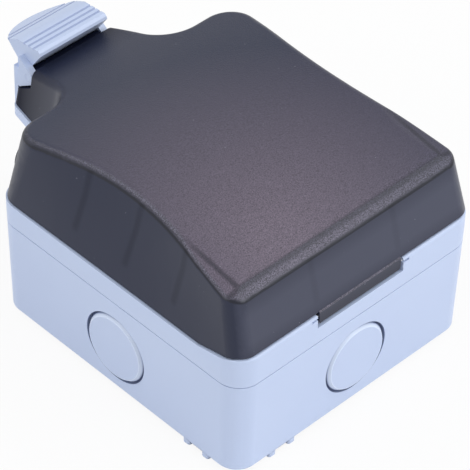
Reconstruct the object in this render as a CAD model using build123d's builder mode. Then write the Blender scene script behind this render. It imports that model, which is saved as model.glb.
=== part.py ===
from build123d import *
import os
from math import asin, atan, cos, degrees, radians, sin, sqrt, tan

# Outdoor weatherproof socket: a back box, a front frame with a switched outlet, and a smoked lid
# with a finger latch. It lies on its back: +Z points away from the wall, +Y is up on the wall
# and the hinge end, and the latch is at -Y. The origin is on the wall plane. Sizes are millimetres.

# Overall sizes
frame_width = 100.0
frame_length = 106.3
corner_radius = 8.2
draft_angle = 1.5

# Heights, each measured up from the one before: wall, box back, seam, straight band, ledge
standoff = 2.0
box_depth = 35.0
band_taper_height = 5.4
band_straight_height = 3.2
hinge_rise = 2.75

# Back box
box_wall = 2.6
box_floor = 2.6
knockout_radius = 12.6
side_knockout_rise = 16.2
end_knockout_rise = 17.1
knockout_groove = 0.3
knockout_depth = 1.1
knockout_bevel = 1.3
fixing_from_side = 20.5
fixing_from_end = 18.55
fixing_hole_radius = 3.0
fixing_pad_radius = 5.6
rib_pitch = 8.0
rib_width = 3.0
rib_round = 0.9
rib_tail = 11.0
foot_radius = 5.0
foot_from_edge = 14.0

# Seam between the box and the frame
skirt_wall = 1.3
rim_clearance = 0.2
rim_wall = 1.5
rim_height = 0.9
gasket_height = 1.1
seam_gap = 0.3

# Screws that hold the frame to the box
screw_from_side = 11.0
screw_from_end = 13.2
screw_radius = 1.75
screw_length = 18.0
screw_head_radius = 3.2
screw_head_height = 2.2
screw_head_edge = 0.5
screw_recess = 0.8
post_radius = 4.2
post_gap = 0.3
web_width = 2.4
hole_clearance = 0.25

# Front frame
floor_thickness = 2.6
upstand_inset = 5.2
upstand_hinge_inset = 7.6
upstand_corner = 5.0
upstand_wall = 2.0
upstand_height = 3.4
raised_wall = 2.8
ramp_start = 17.5
ramp_end = 3.2
ledge_round = 0.8
shelf_thickness = 3.6
shelf_lip = 0.5
gusset_from_middle = 12.0
gusset_width = 2.0
gusset_short = 8.0

# Lid seal on the ledge around the upstand
seal_width = 1.6
seal_height = 1.2
seat_clearance = 0.05

# Lid
lid_inset = 0.5
lid_hinge_inset = 0.0
lid_gap = 0.4
lid_hinge_gap = 0.55
lid_wall = 2.2
lid_height = 28.7
crown_radius = 206.0
crown_from_middle = -4.0
top_round = 3.0
panel_from_end = 9.6
panel_from_side = 8.6
panel_run = 25.55
panel_edge = 1.5
facet_edge = 2.0
band_slope = 28.0
facet_slope = 11.0
waist_from_middle = -2.0
waist_run = 24.3
waist_bow = 0.3
waist_lean = 10.4
hinge_corner_lean = 2.2
shoulder_corner_lean = 2.8
hinge_wall_lean = 7.65
shoulder_wall_lean = 2.5
hinge_corner_base = 6.2
hinge_corner_top = 5.0
shoulder_corner_base = 7.6
shoulder_corner_top = 10.5
neck_radius = 12.0
neck_half_width = 23.7
neck_lean = 4.1
tongue_reach = 29.15
tongue_half_width = 17.5
tongue_lean = 3.4
tongue_end_lean = 2.8
tongue_corner = 3.0

# Lid hinge
hinge_pin_radius = 0.6
hinge_pin_inset = 1.3
hinge_pin_drop = 1.2
hinge_pin_hold = 4.2
leaf_half_width = 17.1
leaf_drop = 3.15
leaf_back = 1.75
leaf_round = 1.0
leaf_corner = 1.8
leaf_outer_gap = 0.3
leaf_side_gap = 0.9
leaf_swing_gap = 0.35
pin_slot_height = 0.9
pin_slot_length = 2.4
pivot_clearance = 0.05

# Latch on the tongue
latch_pivot_back = 5.8
latch_pivot_rise = 12.5
latch_pin_radius = 1.25
tongue_step_rise = 5.1
tongue_step_slope = 33.4
notch_clearance = 0.6
nose_radius = 2.4
nose_half_width = 13.5
latch_side_gap = 0.3
arm_radius = 2.5
arm_thickness = 2.4
arm_root_back = 4.0
arm_root_top = 6.1
arm_root_low = 5.7
latch_plate = 1.8
latch_plate_lean = 1.5
latch_plate_top = 2.4
hook_half_width = 15.0
hook_plate = 1.8
hook_plate_gap = 0.3
hook_bridge = 4.9
hook_reach = 1.4
hook_height = 2.0
hook_gap = 0.4
tab_half_width = 13.9
tab_under_forward = 0.1
tab_under_rise = 4.1
tab_front_reach = 2.4
tab_front_rise = 10.9
tab_lip_reach = 1.2
tab_lip_drop = 0.7
tab_lip_thickness = 0.9
tab_crown_back = 9.4
tab_crown_drop = 0.9
tab_end_back = 14.2
tab_reach = 22.4
tab_end_slope = 28.0
tab_round_back = 10.8
tab_under_lean = 46.5
tab_plate = 2.2
tab_cheek = 1.6
tab_cheek_rise = 1.1
tab_root_drop = 0.5
grip_radius = 0.4
grip_pitch = 2.2
grip_front = 2.0
grip_back = 4.4

# Cable exits in the lid's shoulders
exit_from_middle = 33.0
exit_rise = 7.4
exit_radius = 7.2
exit_gap = 0.4
hood_wall = 1.6
hood_depth = 2.6
exit_seal_depth = 2.4

# Outlet insert in the frame floor
insert_half_width = 29.8
insert_half_length = 31.8
insert_fit = 0.2
insert_corner = 4.0
insert_proud = 0.8
flange_lap_x = 3.0
flange_lap_y = 5.0
flange_thickness = 1.6
rear_flange_thickness = 2.0
rear_depth = 22.0
rear_wall = 2.0
rear_margin = 1.8
insert_screw_radius = 1.25
insert_screw_from_middle = 26.0
insert_screw_head_radius = 2.4
insert_screw_head_height = 1.5
insert_screw_bite = 1.9

# Pin slots of a three-pin outlet, earth at the top
pin_spread = 11.1
pin_row = -14.2
earth_row = 8.0
slot_width = 7.2
slot_height = 4.8
earth_slot_height = 8.7

# Rocker switch
rocker_x = 17.8
rocker_y = 17.6
rocker_half_width = 5.8
rocker_reach = 9.8
rocker_gap = 0.35
rocker_facet = 8.0
rocker_crest = 2.4
rocker_depth = 4.0
trunnion_radius = 1.5
trunnion_length = 1.6
trunnion_drop = 0.4
ear_thickness = 1.6
stem_half_width = 2.0
stem_length = 9.0

# Shutter behind the pin slots
shutter_gap = 0.3
shutter_thickness = 2.6
shutter_lap = 0.6
shutter_travel = 6.5
shutter_half_width = 17.0
shutter_arm_half = 4.2
shutter_ramp = 5.4
spring_leaf = 0.5
spring_width = 8.0

# Brass contacts and terminals
clip_wall = 1.0
clip_play = 0.35
clip_gap = 0.9
clip_depth = 13.0
strap_thickness = 1.2
strap_width = 5.0
terminal_size = 8.0
terminal_height = 10.0
terminal_x = 20.0
live_row = 20.0
terminal_rise = 3.0
wire_hole_radius = 1.6
terminal_screw_radius = 1.75
terminal_screw_head = 2.8
terminal_screw_length = 7.0
access_radius = 3.2
blade_thickness = 0.6
blade_gap = 0.3

# Earth terminal in the back box
earth_post_from_side = 12.5
earth_post_from_end = 31.15
earth_post_radius = 4.5
earth_post_height = 5.0

# Levels and places that follow from the sizes above
half_width = frame_width / 2
half_length = frame_length / 2
draft = tan(radians(draft_angle))
z_back = standoff
z_seam = z_back + box_depth
z_straight = z_seam + band_taper_height
z_ledge = z_straight + band_straight_height
z_hinge_ledge = z_ledge + hinge_rise
seam_inset = band_taper_height * draft
back_half_width = half_width - draft * (z_straight - z_back)
back_half_length = half_length - draft * (z_straight - z_back)
z_floor_under = z_seam + rim_height + gasket_height
z_floor = z_floor_under + floor_thickness
panel_end = half_length - panel_from_end
panel_start = panel_end - panel_run
panel_half_width = half_width - panel_from_side
earth_post_x = earth_post_from_side - half_width
earth_post_y = earth_post_from_end - half_length
screw_x = half_width - screw_from_side
screw_y = half_length - screw_from_end
fixing_x = half_width - fixing_from_side
fixing_y = half_length - fixing_from_end
upstand_width = frame_width - 2 * upstand_inset
upstand_length = frame_length - upstand_inset - upstand_hinge_inset
upstand_y = (upstand_inset - upstand_hinge_inset) / 2
z_upstand = z_ledge + upstand_height
z_lid = z_ledge + lid_gap
z_lid_hinge = z_hinge_ledge + lid_hinge_gap
z_apex = z_lid + lid_height
crown_y = crown_from_middle
ramp_low_y = half_length - ramp_start
ramp_high_y = half_length - ramp_end
hinge_y = half_length - hinge_pin_inset
hinge_z = z_hinge_ledge - hinge_pin_drop
tongue_end_y = -half_length - tongue_reach + lid_inset
pivot_y = tongue_end_y + latch_pivot_back
pivot_z = z_ledge + latch_pivot_rise
notch_y = pivot_y + arm_radius + notch_clearance
z_step_end = z_ledge + tongue_step_rise
shelf_end_y = tongue_end_y - seat_clearance
exit_z = z_ledge + exit_rise
z_insert = z_floor + insert_proud
z_flange = z_floor_under - flange_thickness
z_rear_flange = z_flange - rear_flange_thickness
z_rear = z_rear_flange - rear_depth
rear_half_width = insert_half_width - rear_margin
rear_half_length = insert_half_length - rear_margin
insert_screw_y = insert_half_length + insert_fit + flange_lap_y / 2
rocker_z = z_floor_under + rocker_gap
z_shutter = z_floor_under - shutter_gap
z_clip = z_shutter - shutter_thickness - clip_gap
z_terminal = z_rear + rear_wall + terminal_rise


def rounded_plate(width, length, radius, height):
    """Flat rounded rectangle at a height, centred on the box."""
    with BuildSketch(Plane.XY.offset(height)) as plate:
        RectangleRounded(width, length, radius)
    return plate.sketch


def inset_plate(inset, height):
    """The frame's outline drawn in by an inset."""
    width = frame_width - 2 * inset
    length = frame_length - 2 * inset
    return rounded_plate(width, length, corner_radius - inset, height)


def upstand_plate(grow, height):
    """The upstand's outline, grown or shrunk, with its middle towards the latch."""
    width = upstand_width + 2 * grow
    length = upstand_length + 2 * grow
    with BuildSketch(Plane.XY.offset(height)) as plate:
        with Locations((0, upstand_y)):
            RectangleRounded(width, length, upstand_corner + grow)
    return plate.sketch


def bar_across(start, end, low, high, half):
    """Block that spans both sides of the middle, given its Y and Z limits."""
    with BuildSketch(Plane.YZ.offset(-half)) as side:
        with Locations(((start + end) / 2, (low + high) / 2)):
            Rectangle(end - start, high - low)
    return extrude(side.sketch, amount=2 * half, mode=Mode.PRIVATE)


def rod_across(y, z, radius, half):
    """Round bar along X, centred on the middle."""
    with BuildSketch(Plane.YZ.offset(-half)) as side:
        with Locations((y, z)):
            Circle(radius)
    return extrude(side.sketch, amount=2 * half, mode=Mode.PRIVATE)


def blend_radius(before, corner, after, run):
    """Radius of a rounding that takes up a given run on each side of a corner."""
    turn = (Vector(*corner) - Vector(*before)).get_angle(Vector(*after) - Vector(*corner))
    return run / tan(radians(turn) / 2)


def lid_outline(height, inset):
    """Plan of the lid at a height: waisted sides, shoulders, neck and tongue."""
    up = (height - z_lid) / lid_height
    side = half_width - lid_inset - inset
    hinge_side = side - hinge_corner_lean * up
    shoulder_side = side - shoulder_corner_lean * up
    waist = side - waist_bow - waist_lean * up
    hinge_end = half_length - lid_hinge_inset - inset - hinge_wall_lean * up
    shoulder_end = -half_length + lid_inset + inset + shoulder_wall_lean * up
    neck = neck_half_width - inset - neck_lean * up
    tongue = tongue_half_width - inset - tongue_lean * up
    tongue_end = tongue_end_y + inset + tongue_end_lean * up
    hinge_round = hinge_corner_base + (hinge_corner_top - hinge_corner_base) * up - inset
    shoulder_round = shoulder_corner_base + (shoulder_corner_top - shoulder_corner_base) * up - inset
    corner = (hinge_side, hinge_end)
    middle = (waist, waist_from_middle)
    shoulder = (shoulder_side, shoulder_end)
    root = (neck, shoulder_end)
    tip = (tongue, tongue_end)
    waist_round = blend_radius(corner, middle, shoulder, waist_run)
    rounds = [hinge_round, waist_round, shoulder_round, neck_radius + inset, tongue_corner - inset / 2]
    with BuildSketch(Plane.XY.offset(height)) as plan:
        with BuildLine():
            FilletPolyline((0, hinge_end), corner, middle, shoulder, root, tip, (0, tongue_end), radius=rounds)
            mirror(about=Plane.YZ)
        make_face()
    return plan.sketch


def crown_z(y):
    """Height of the arched top at a place along the lid."""
    return z_apex - crown_radius + sqrt(crown_radius**2 - (y - crown_y) ** 2)


def lid_roof(drop):
    """Everything under the arched top panel and the band that falls away at its hinge end."""
    fall_hinge = degrees(asin((panel_end - crown_y) / crown_radius))
    fall_latch = degrees(asin((frame_length + crown_y) / crown_radius))
    with BuildPart() as roof:
        with BuildSketch(Plane.YZ.offset(-frame_width)):
            with BuildLine():
                arch = CenterArc((crown_y, z_apex - crown_radius), crown_radius - drop,
                                 90 + fall_latch, -fall_latch - fall_hinge)
                edge = JernArc(arch @ 1, arch % 1, panel_edge, fall_hinge - band_slope)
                band = Line(edge @ 1, edge @ 1 + (edge % 1) * lid_height)
                Polyline(band @ 1, ((band @ 1).X, 0), ((arch @ 0).X, 0), arch @ 0)
            make_face()
        extrude(amount=2 * frame_width)
    return roof.part


def space_beside_panel(drop):
    """The space over the two facets that fall away from the top panel at the hinge corners."""
    fall = radians(facet_slope)
    with BuildPart() as space:
        for side in (-1, 1):
            start = Vector(side * panel_half_width, panel_start, crown_z(panel_start))
            end = Vector(side * panel_half_width, panel_end, crown_z(panel_end))
            upward = Vector(side * cos(fall), 0, -sin(fall)).cross(end - start).normalized() * side
            with BuildSketch(Plane(origin=end - upward * drop, z_dir=upward)):
                Rectangle(2 * frame_length, 2 * frame_length)
            extrude(amount=frame_width)
    return space.part


# Back box: drafted shell, sealing rim, screw posts, knockouts and stand-off ribs
with BuildPart() as back_box:
    add(inset_plate(seam_inset, z_seam))
    extrude(amount=-box_depth, taper=draft_angle)
    add(inset_plate(seam_inset + box_wall, z_seam))
    extrude(amount=-(box_depth - box_floor), taper=draft_angle, mode=Mode.SUBTRACT)
    rim_inset = seam_inset + skirt_wall + rim_clearance
    with BuildSketch(Plane.XY.offset(z_seam - box_wall)):
        add(inset_plate(rim_inset, 0))
        add(inset_plate(rim_inset + rim_wall, 0), mode=Mode.SUBTRACT)
    extrude(amount=box_wall + rim_height)
    with BuildSketch(Plane.XY.offset(z_back + box_floor / 2)):
        with GridLocations(2 * screw_x, 2 * screw_y, 2, 2):
            Circle(post_radius)
    extrude(amount=z_floor_under - post_gap - z_back - box_floor / 2)
    with BuildSketch(Plane.XY.offset(z_back + box_floor / 2)):
        side_web = back_half_width - box_wall - screw_x
        with GridLocations(2 * screw_x + side_web, 2 * screw_y, 2, 2):
            Rectangle(side_web + box_wall, web_width)
        end_web = back_half_length - box_wall - screw_y
        with GridLocations(2 * screw_x, 2 * screw_y + end_web, 2, 2):
            Rectangle(web_width, end_web + box_wall)
    extrude(amount=box_depth - box_floor / 2 - box_wall)
    with BuildSketch(Plane.XY.offset(z_back + box_floor / 2)):
        with Locations((earth_post_x, earth_post_y)):
            Circle(earth_post_radius)
    extrude(amount=box_floor / 2 + earth_post_height)
    with BuildSketch(Plane.XY.offset(z_floor_under)):
        with GridLocations(2 * screw_x, 2 * screw_y, 2, 2):
            Circle(screw_radius)
    extrude(amount=-screw_length, mode=Mode.SUBTRACT)
    for turn in (0, 90, 180, 270):
        outward = (cos(radians(turn)), sin(radians(turn)), 0)
        on_side = turn % 180 == 0
        z_knockout = z_back + (side_knockout_rise if on_side else end_knockout_rise)
        wall_at_knockout = (half_width if on_side else half_length) - draft * (z_straight - z_knockout)
        face = Plane(origin=(0, 0, z_knockout), z_dir=outward)
        with BuildSketch(face.offset(wall_at_knockout - knockout_depth)):
            Circle(knockout_radius)
        extrude(amount=2 * knockout_depth, mode=Mode.SUBTRACT)
        with BuildSketch(face.offset(wall_at_knockout - knockout_depth)):
            Circle(knockout_radius - knockout_groove)
        extrude(amount=knockout_depth, taper=degrees(atan(knockout_bevel / knockout_depth)))
    rib_end_x = back_half_width - draft * standoff
    rib_end_y = back_half_length - draft * standoff
    with BuildSketch():
        with PolarLocations(0, 2):
            with Locations((fixing_x, fixing_y)):
                Circle(fixing_pad_radius)
            for offset_y in (-rib_pitch / 2, rib_pitch / 2):
                with Locations(((rib_end_x + fixing_x - rib_tail) / 2, fixing_y + offset_y)):
                    RectangleRounded(rib_end_x - fixing_x + rib_tail, rib_width, rib_round)
            for offset_x in (-rib_pitch / 2, rib_pitch / 2):
                with Locations((fixing_x + offset_x, (rib_end_y + fixing_y - rib_tail) / 2)):
                    RectangleRounded(rib_width, rib_end_y - fixing_y + rib_tail, rib_round)
            with Locations((foot_from_edge - half_width, half_length - foot_from_edge)):
                Circle(foot_radius)
    extrude(amount=standoff + box_floor / 2)
    with BuildSketch():
        with PolarLocations(0, 2):
            with Locations((fixing_x, fixing_y)):
                Circle(fixing_hole_radius)
    extrude(amount=standoff + box_floor, mode=Mode.SUBTRACT)
    with Locations((earth_post_x, earth_post_y, z_back + box_floor)):
        Cylinder(terminal_screw_radius, earth_post_height, mode=Mode.SUBTRACT,
                 align=(Align.CENTER, Align.CENTER, Align.MIN))

# Gasket between the box rim and the frame floor
with BuildPart() as box_gasket:
    with BuildSketch(Plane.XY.offset(z_seam + rim_height)):
        add(inset_plate(rim_inset, 0))
        add(inset_plate(rim_inset + rim_wall, 0), mode=Mode.SUBTRACT)
    extrude(amount=gasket_height)

# Front frame: band, floor, upstand, hinge pocket, latch shelf and cable cradles
with BuildPart() as front_frame:
    add(inset_plate(0, z_straight))
    extrude(amount=seam_gap - band_taper_height, taper=draft_angle)
    add(inset_plate(0, z_straight))
    extrude(amount=band_straight_height)
    with BuildSketch(Plane.XY.offset(z_ledge)):
        add(inset_plate(0, 0))
        add(inset_plate(raised_wall, 0), mode=Mode.SUBTRACT)
    extrude(amount=hinge_rise)
    with BuildSketch(Plane.YZ.offset(-half_width)):
        with BuildLine():
            Polyline(
                (-frame_length, z_ledge),
                (ramp_low_y, z_ledge),
                (ramp_high_y, z_hinge_ledge),
                (ramp_high_y, z_apex),
                (-frame_length, z_apex),
                close=True,
            )
        make_face()
    extrude(amount=frame_width, mode=Mode.SUBTRACT)
    hinge_edge = front_frame.edges().filter_by(Axis.X).filter_by_position(
        Axis.Z, z_hinge_ledge - lid_gap, z_hinge_ledge + lid_gap
    )
    fillet(hinge_edge.sort_by(Axis.Y)[-1], ledge_round)
    add(upstand_plate(0, z_ledge))
    extrude(amount=upstand_height)
    add(upstand_plate(-upstand_wall, z_floor))
    extrude(amount=z_upstand - z_floor, mode=Mode.SUBTRACT)
    add(inset_plate(seam_inset + skirt_wall, z_seam))
    extrude(amount=rim_height + gasket_height, mode=Mode.SUBTRACT)
    neck = neck_half_width + shelf_lip
    shelf_root = neck + neck_radius + shelf_lip
    with BuildSketch(Plane.XY.offset(z_ledge - shelf_thickness)):
        with BuildLine():
            FilletPolyline(
                (0, raised_wall - half_length),
                (shelf_root, raised_wall - half_length),
                (shelf_root, -half_length),
                (neck, -half_length),
                (tongue_half_width + shelf_lip, shelf_end_y),
                (0, shelf_end_y),
                radius=[0, 0, neck_radius, tongue_corner],
            )
            mirror(about=Plane.YZ)
        make_face()
    extrude(amount=shelf_thickness)
    for middle in (-gusset_from_middle, gusset_from_middle):
        with BuildSketch(Plane.YZ.offset(middle - gusset_width / 2)):
            with BuildLine():
                Polyline(
                    (skirt_wall / 2 - half_length, z_seam + rim_height),
                    (skirt_wall / 2 - half_length, z_ledge - shelf_thickness / 2),
                    (shelf_end_y + gusset_short, z_ledge - shelf_thickness / 2),
                    (shelf_end_y + gusset_short, z_ledge - shelf_thickness - gusset_width / 2),
                    close=True,
                )
            make_face()
        extrude(amount=gusset_width)
    leaf_reach = sqrt((leaf_drop - leaf_round) ** 2 + (leaf_back - leaf_round) ** 2) + leaf_round
    leaf_swing = leaf_reach + leaf_swing_gap
    pocket_half = leaf_half_width + leaf_side_gap
    add(bar_across(hinge_y - leaf_swing, half_length + ledge_round, hinge_z - leaf_swing, z_apex, pocket_half),
        mode=Mode.SUBTRACT)
    add(rod_across(hinge_y, hinge_z, hinge_pin_radius, pocket_half + hinge_pin_hold), mode=Mode.SUBTRACT)
    add(bar_across(hinge_y, half_length + ledge_round, hinge_z - pin_slot_height / 2,
                   hinge_z + pin_slot_height / 2, pocket_half + pin_slot_length), mode=Mode.SUBTRACT)
    with BuildSketch(Plane.XY.offset(z_floor_under)):
        RectangleRounded(
            2 * (insert_half_width + insert_fit), 2 * (insert_half_length + insert_fit), insert_corner
        )
        with GridLocations(2 * screw_x, 2 * screw_y, 2, 2):
            Circle(screw_radius + hole_clearance)
    extrude(amount=floor_thickness, mode=Mode.SUBTRACT)
    with BuildSketch(Plane.XY.offset(z_floor_under)):
        with GridLocations(2 * insert_screw_from_middle, 2 * insert_screw_y, 2, 2):
            Circle(insert_screw_radius)
    extrude(amount=insert_screw_bite, mode=Mode.SUBTRACT)

# Four screws through the frame floor into the box posts
with BuildPart() as frame_screws:
    with BuildSketch(Plane.XY.offset(z_floor)):
        with GridLocations(2 * screw_x, 2 * screw_y, 2, 2):
            Circle(screw_head_radius)
    extrude(amount=screw_head_height)
    chamfer(frame_screws.faces().sort_by(Axis.Z)[-4:].edges(), screw_head_edge)
    with BuildSketch(Plane.XY.offset(z_floor)):
        with GridLocations(2 * screw_x, 2 * screw_y, 2, 2):
            Circle(screw_radius)
    extrude(amount=-(screw_length - 2 * post_gap))
    with BuildSketch(Plane.XY.offset(z_floor + screw_head_height)):
        with GridLocations(2 * screw_x, 2 * screw_y, 2, 2):
            Rectangle(screw_head_radius, screw_recess)
            Rectangle(screw_recess, screw_head_radius)
    extrude(amount=-screw_head_height / 2, mode=Mode.SUBTRACT)

# Seal ring that lies on the ledge around the upstand
with BuildPart() as lid_seal:
    with BuildSketch(Plane.XY.offset(z_ledge)):
        add(upstand_plate(seal_width, 0))
        add(upstand_plate(seat_clearance, 0), mode=Mode.SUBTRACT)
    extrude(amount=seal_height)

# Hollow of the lid
with BuildPart() as lid_hollow:
    add(lid_outline(z_lid - lid_wall, lid_wall))
    add(lid_outline(z_apex, lid_wall))
    loft(ruled=True)
    add(lid_roof(lid_wall), mode=Mode.INTERSECT)
    add(space_beside_panel(lid_wall), mode=Mode.SUBTRACT)
    add(bar_across(-frame_length, notch_y + lid_wall, z_step_end - lid_wall, z_apex + lid_wall, half_width),
        mode=Mode.SUBTRACT)

# Hinge leaf under the lid's wall, with round lower corners
leaf_outer_y = half_length - leaf_outer_gap
leaf_inner_y = hinge_y - leaf_back
leaf_top = z_lid_hinge + lid_wall / 2
leaf_bottom = hinge_z - leaf_drop
leaf_root_y = half_length - lid_hinge_inset - hinge_wall_lean * (leaf_top - z_lid) / lid_height - lid_wall / 2
with BuildPart() as hinge_leaf:
    with BuildSketch(Plane.YZ.offset(-leaf_half_width)):
        with BuildLine():
            FilletPolyline(
                (leaf_inner_y, leaf_top),
                (leaf_inner_y, leaf_bottom),
                (leaf_outer_y, leaf_bottom),
                (leaf_outer_y, z_lid_hinge),
                (leaf_root_y, leaf_top),
                radius=[leaf_round, leaf_round, 0],
            )
            Line((leaf_root_y, leaf_top), (leaf_inner_y, leaf_top))
        make_face()
    extrude(amount=2 * leaf_half_width)
    with BuildSketch(Plane.XZ.offset(-half_length)):
        with Locations((0, leaf_bottom + lid_height / 2)):
            RectangleRounded(2 * leaf_half_width, lid_height, leaf_corner)
    extrude(amount=2 * leaf_drop, mode=Mode.INTERSECT)

# Lid: arched and waisted shell with a tongue, a latch nose, cable hoods and a hinge leaf
with BuildPart() as lid:
    add(lid_outline(z_lid, 0))
    add(lid_outline(z_apex, 0))
    loft(ruled=True)
    add(lid_roof(0), mode=Mode.INTERSECT)
    upper = lid.faces().filter_by(lambda face: face.normal_at(face.center()).Z > 0.5)
    rim = [edge for edge in upper.edges() if sum(edge in face.edges() for face in upper) == 1]
    fillet(rim, top_round)
    add(space_beside_panel(0), mode=Mode.SUBTRACT)
    fall = radians(facet_slope)
    flats = lid.faces().filter_by(GeomType.PLANE).filter_by(lambda face: face.normal_at().Z > cos(2 * fall))
    facets = flats.filter_by(lambda face: abs(face.normal_at().X) > sin(fall / 2))
    fillet(facets.edges(), facet_edge)
    add(lid_hollow.part, mode=Mode.SUBTRACT)
    with BuildSketch(Plane.YZ.offset(-half_width)):
        with BuildLine():
            Polyline(
                (ramp_low_y, z_lid),
                (ramp_high_y, z_lid_hinge),
                (frame_length, z_lid_hinge),
                (frame_length, z_lid - lid_wall),
                (ramp_low_y, z_lid - lid_wall),
                close=True,
            )
        make_face()
    extrude(amount=frame_width, mode=Mode.SUBTRACT)
    for middle in (-exit_from_middle, exit_from_middle):
        hood_radius = exit_radius + exit_gap + hood_wall
        with BuildSketch(Plane.XZ.offset(half_length - lid_inset - hood_depth)):
            with Locations((middle, exit_z)):
                Circle(hood_radius)
            with Locations((middle, (exit_z + z_lid) / 2)):
                Rectangle(2 * hood_radius, exit_z - z_lid)
        extrude(amount=hood_depth)
        with BuildSketch(Plane.XZ.offset(half_length - 2 * upstand_inset)):
            with Locations((middle, exit_z)):
                Circle(exit_radius + exit_gap)
            with Locations((middle, (exit_z + z_lid - lid_wall) / 2)):
                Rectangle(2 * (exit_radius + exit_gap), exit_z - z_lid + lid_wall)
        extrude(amount=3 * upstand_inset, mode=Mode.SUBTRACT)
    step_rise = tan(radians(tongue_step_slope))
    with BuildSketch(Plane.YZ.offset(-half_width)):
        with BuildLine():
            Polyline(
                (notch_y, z_apex),
                (notch_y, z_step_end + (notch_y - tongue_end_y) * step_rise),
                (tongue_end_y, z_step_end),
                (-frame_length, z_step_end),
                (-frame_length, z_apex),
                close=True,
            )
        make_face()
    extrude(amount=frame_width, mode=Mode.SUBTRACT)
    add(rod_across(pivot_y, pivot_z, nose_radius, nose_half_width))
    nose_foot_z = z_step_end + (pivot_y - nose_radius - tongue_end_y) * step_rise - lid_wall / 2
    add(bar_across(pivot_y - nose_radius, pivot_y + nose_radius, nose_foot_z, pivot_z, nose_half_width))
    add(rod_across(pivot_y, pivot_z, latch_pin_radius, nose_half_width), mode=Mode.SUBTRACT)
    add(hinge_leaf.part)
    add(rod_across(hinge_y, hinge_z, hinge_pin_radius + pivot_clearance, leaf_half_width), mode=Mode.SUBTRACT)

# Steel pin that the lid turns on, held in the frame at both ends
with BuildPart() as hinge_pin:
    add(rod_across(hinge_y, hinge_z, hinge_pin_radius, pocket_half + hinge_pin_hold - seat_clearance))

# Finger latch: two arms on the tongue's nose, a plate with a hook, and a ribbed tab
arm_inner = nose_half_width + latch_side_gap
arm_outer = arm_inner + arm_thickness
crest = (pivot_y + tab_front_reach, pivot_z + tab_front_rise)
crown = (crest[0] - tab_crown_back, crest[1] - tab_crown_drop)
end_fall = tan(radians(tab_end_slope))
reach_y = crest[0] - tab_reach
reach_z = crown[1] - (crown[0] - reach_y) * end_fall
edge_y = crest[0] - tab_end_back
edge_z = crown[1] - (crown[0] - edge_y) * end_fall
round_y = crest[0] - tab_round_back
edge_radius = sqrt(tab_half_width**2 + (round_y - edge_y) ** 2)
under_fall = 1 / tan(radians(tab_under_lean))
lip_top = (crest[0] + tab_lip_reach - tab_lip_drop / 2, crest[1] - tab_lip_drop)
lip_low = (crest[0] + tab_lip_reach, crest[1] - tab_lip_drop - tab_lip_thickness)
plate_low = pivot_z - arm_root_low
root_z = pivot_z - tab_root_drop
plate_top = pivot_z + latch_plate_top
plate_out_y = tongue_end_y + rim_clearance
plate_in_y = plate_out_y + latch_plate
hook_in_y = tongue_end_y - hook_plate_gap
hook_out_y = hook_in_y - hook_plate
z_hook = z_ledge - shelf_thickness - hook_gap
with BuildPart() as past_edge:
    add(bar_across(reach_y, round_y, root_z, crest[1], tab_half_width))
    with Locations((0, round_y, root_z)):
        Cone(edge_radius - (edge_z - root_z) / under_fall, edge_radius + (crest[1] - edge_z) / under_fall,
             crest[1] - root_z, align=(Align.CENTER, Align.CENTER, Align.MIN), mode=Mode.SUBTRACT)
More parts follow.
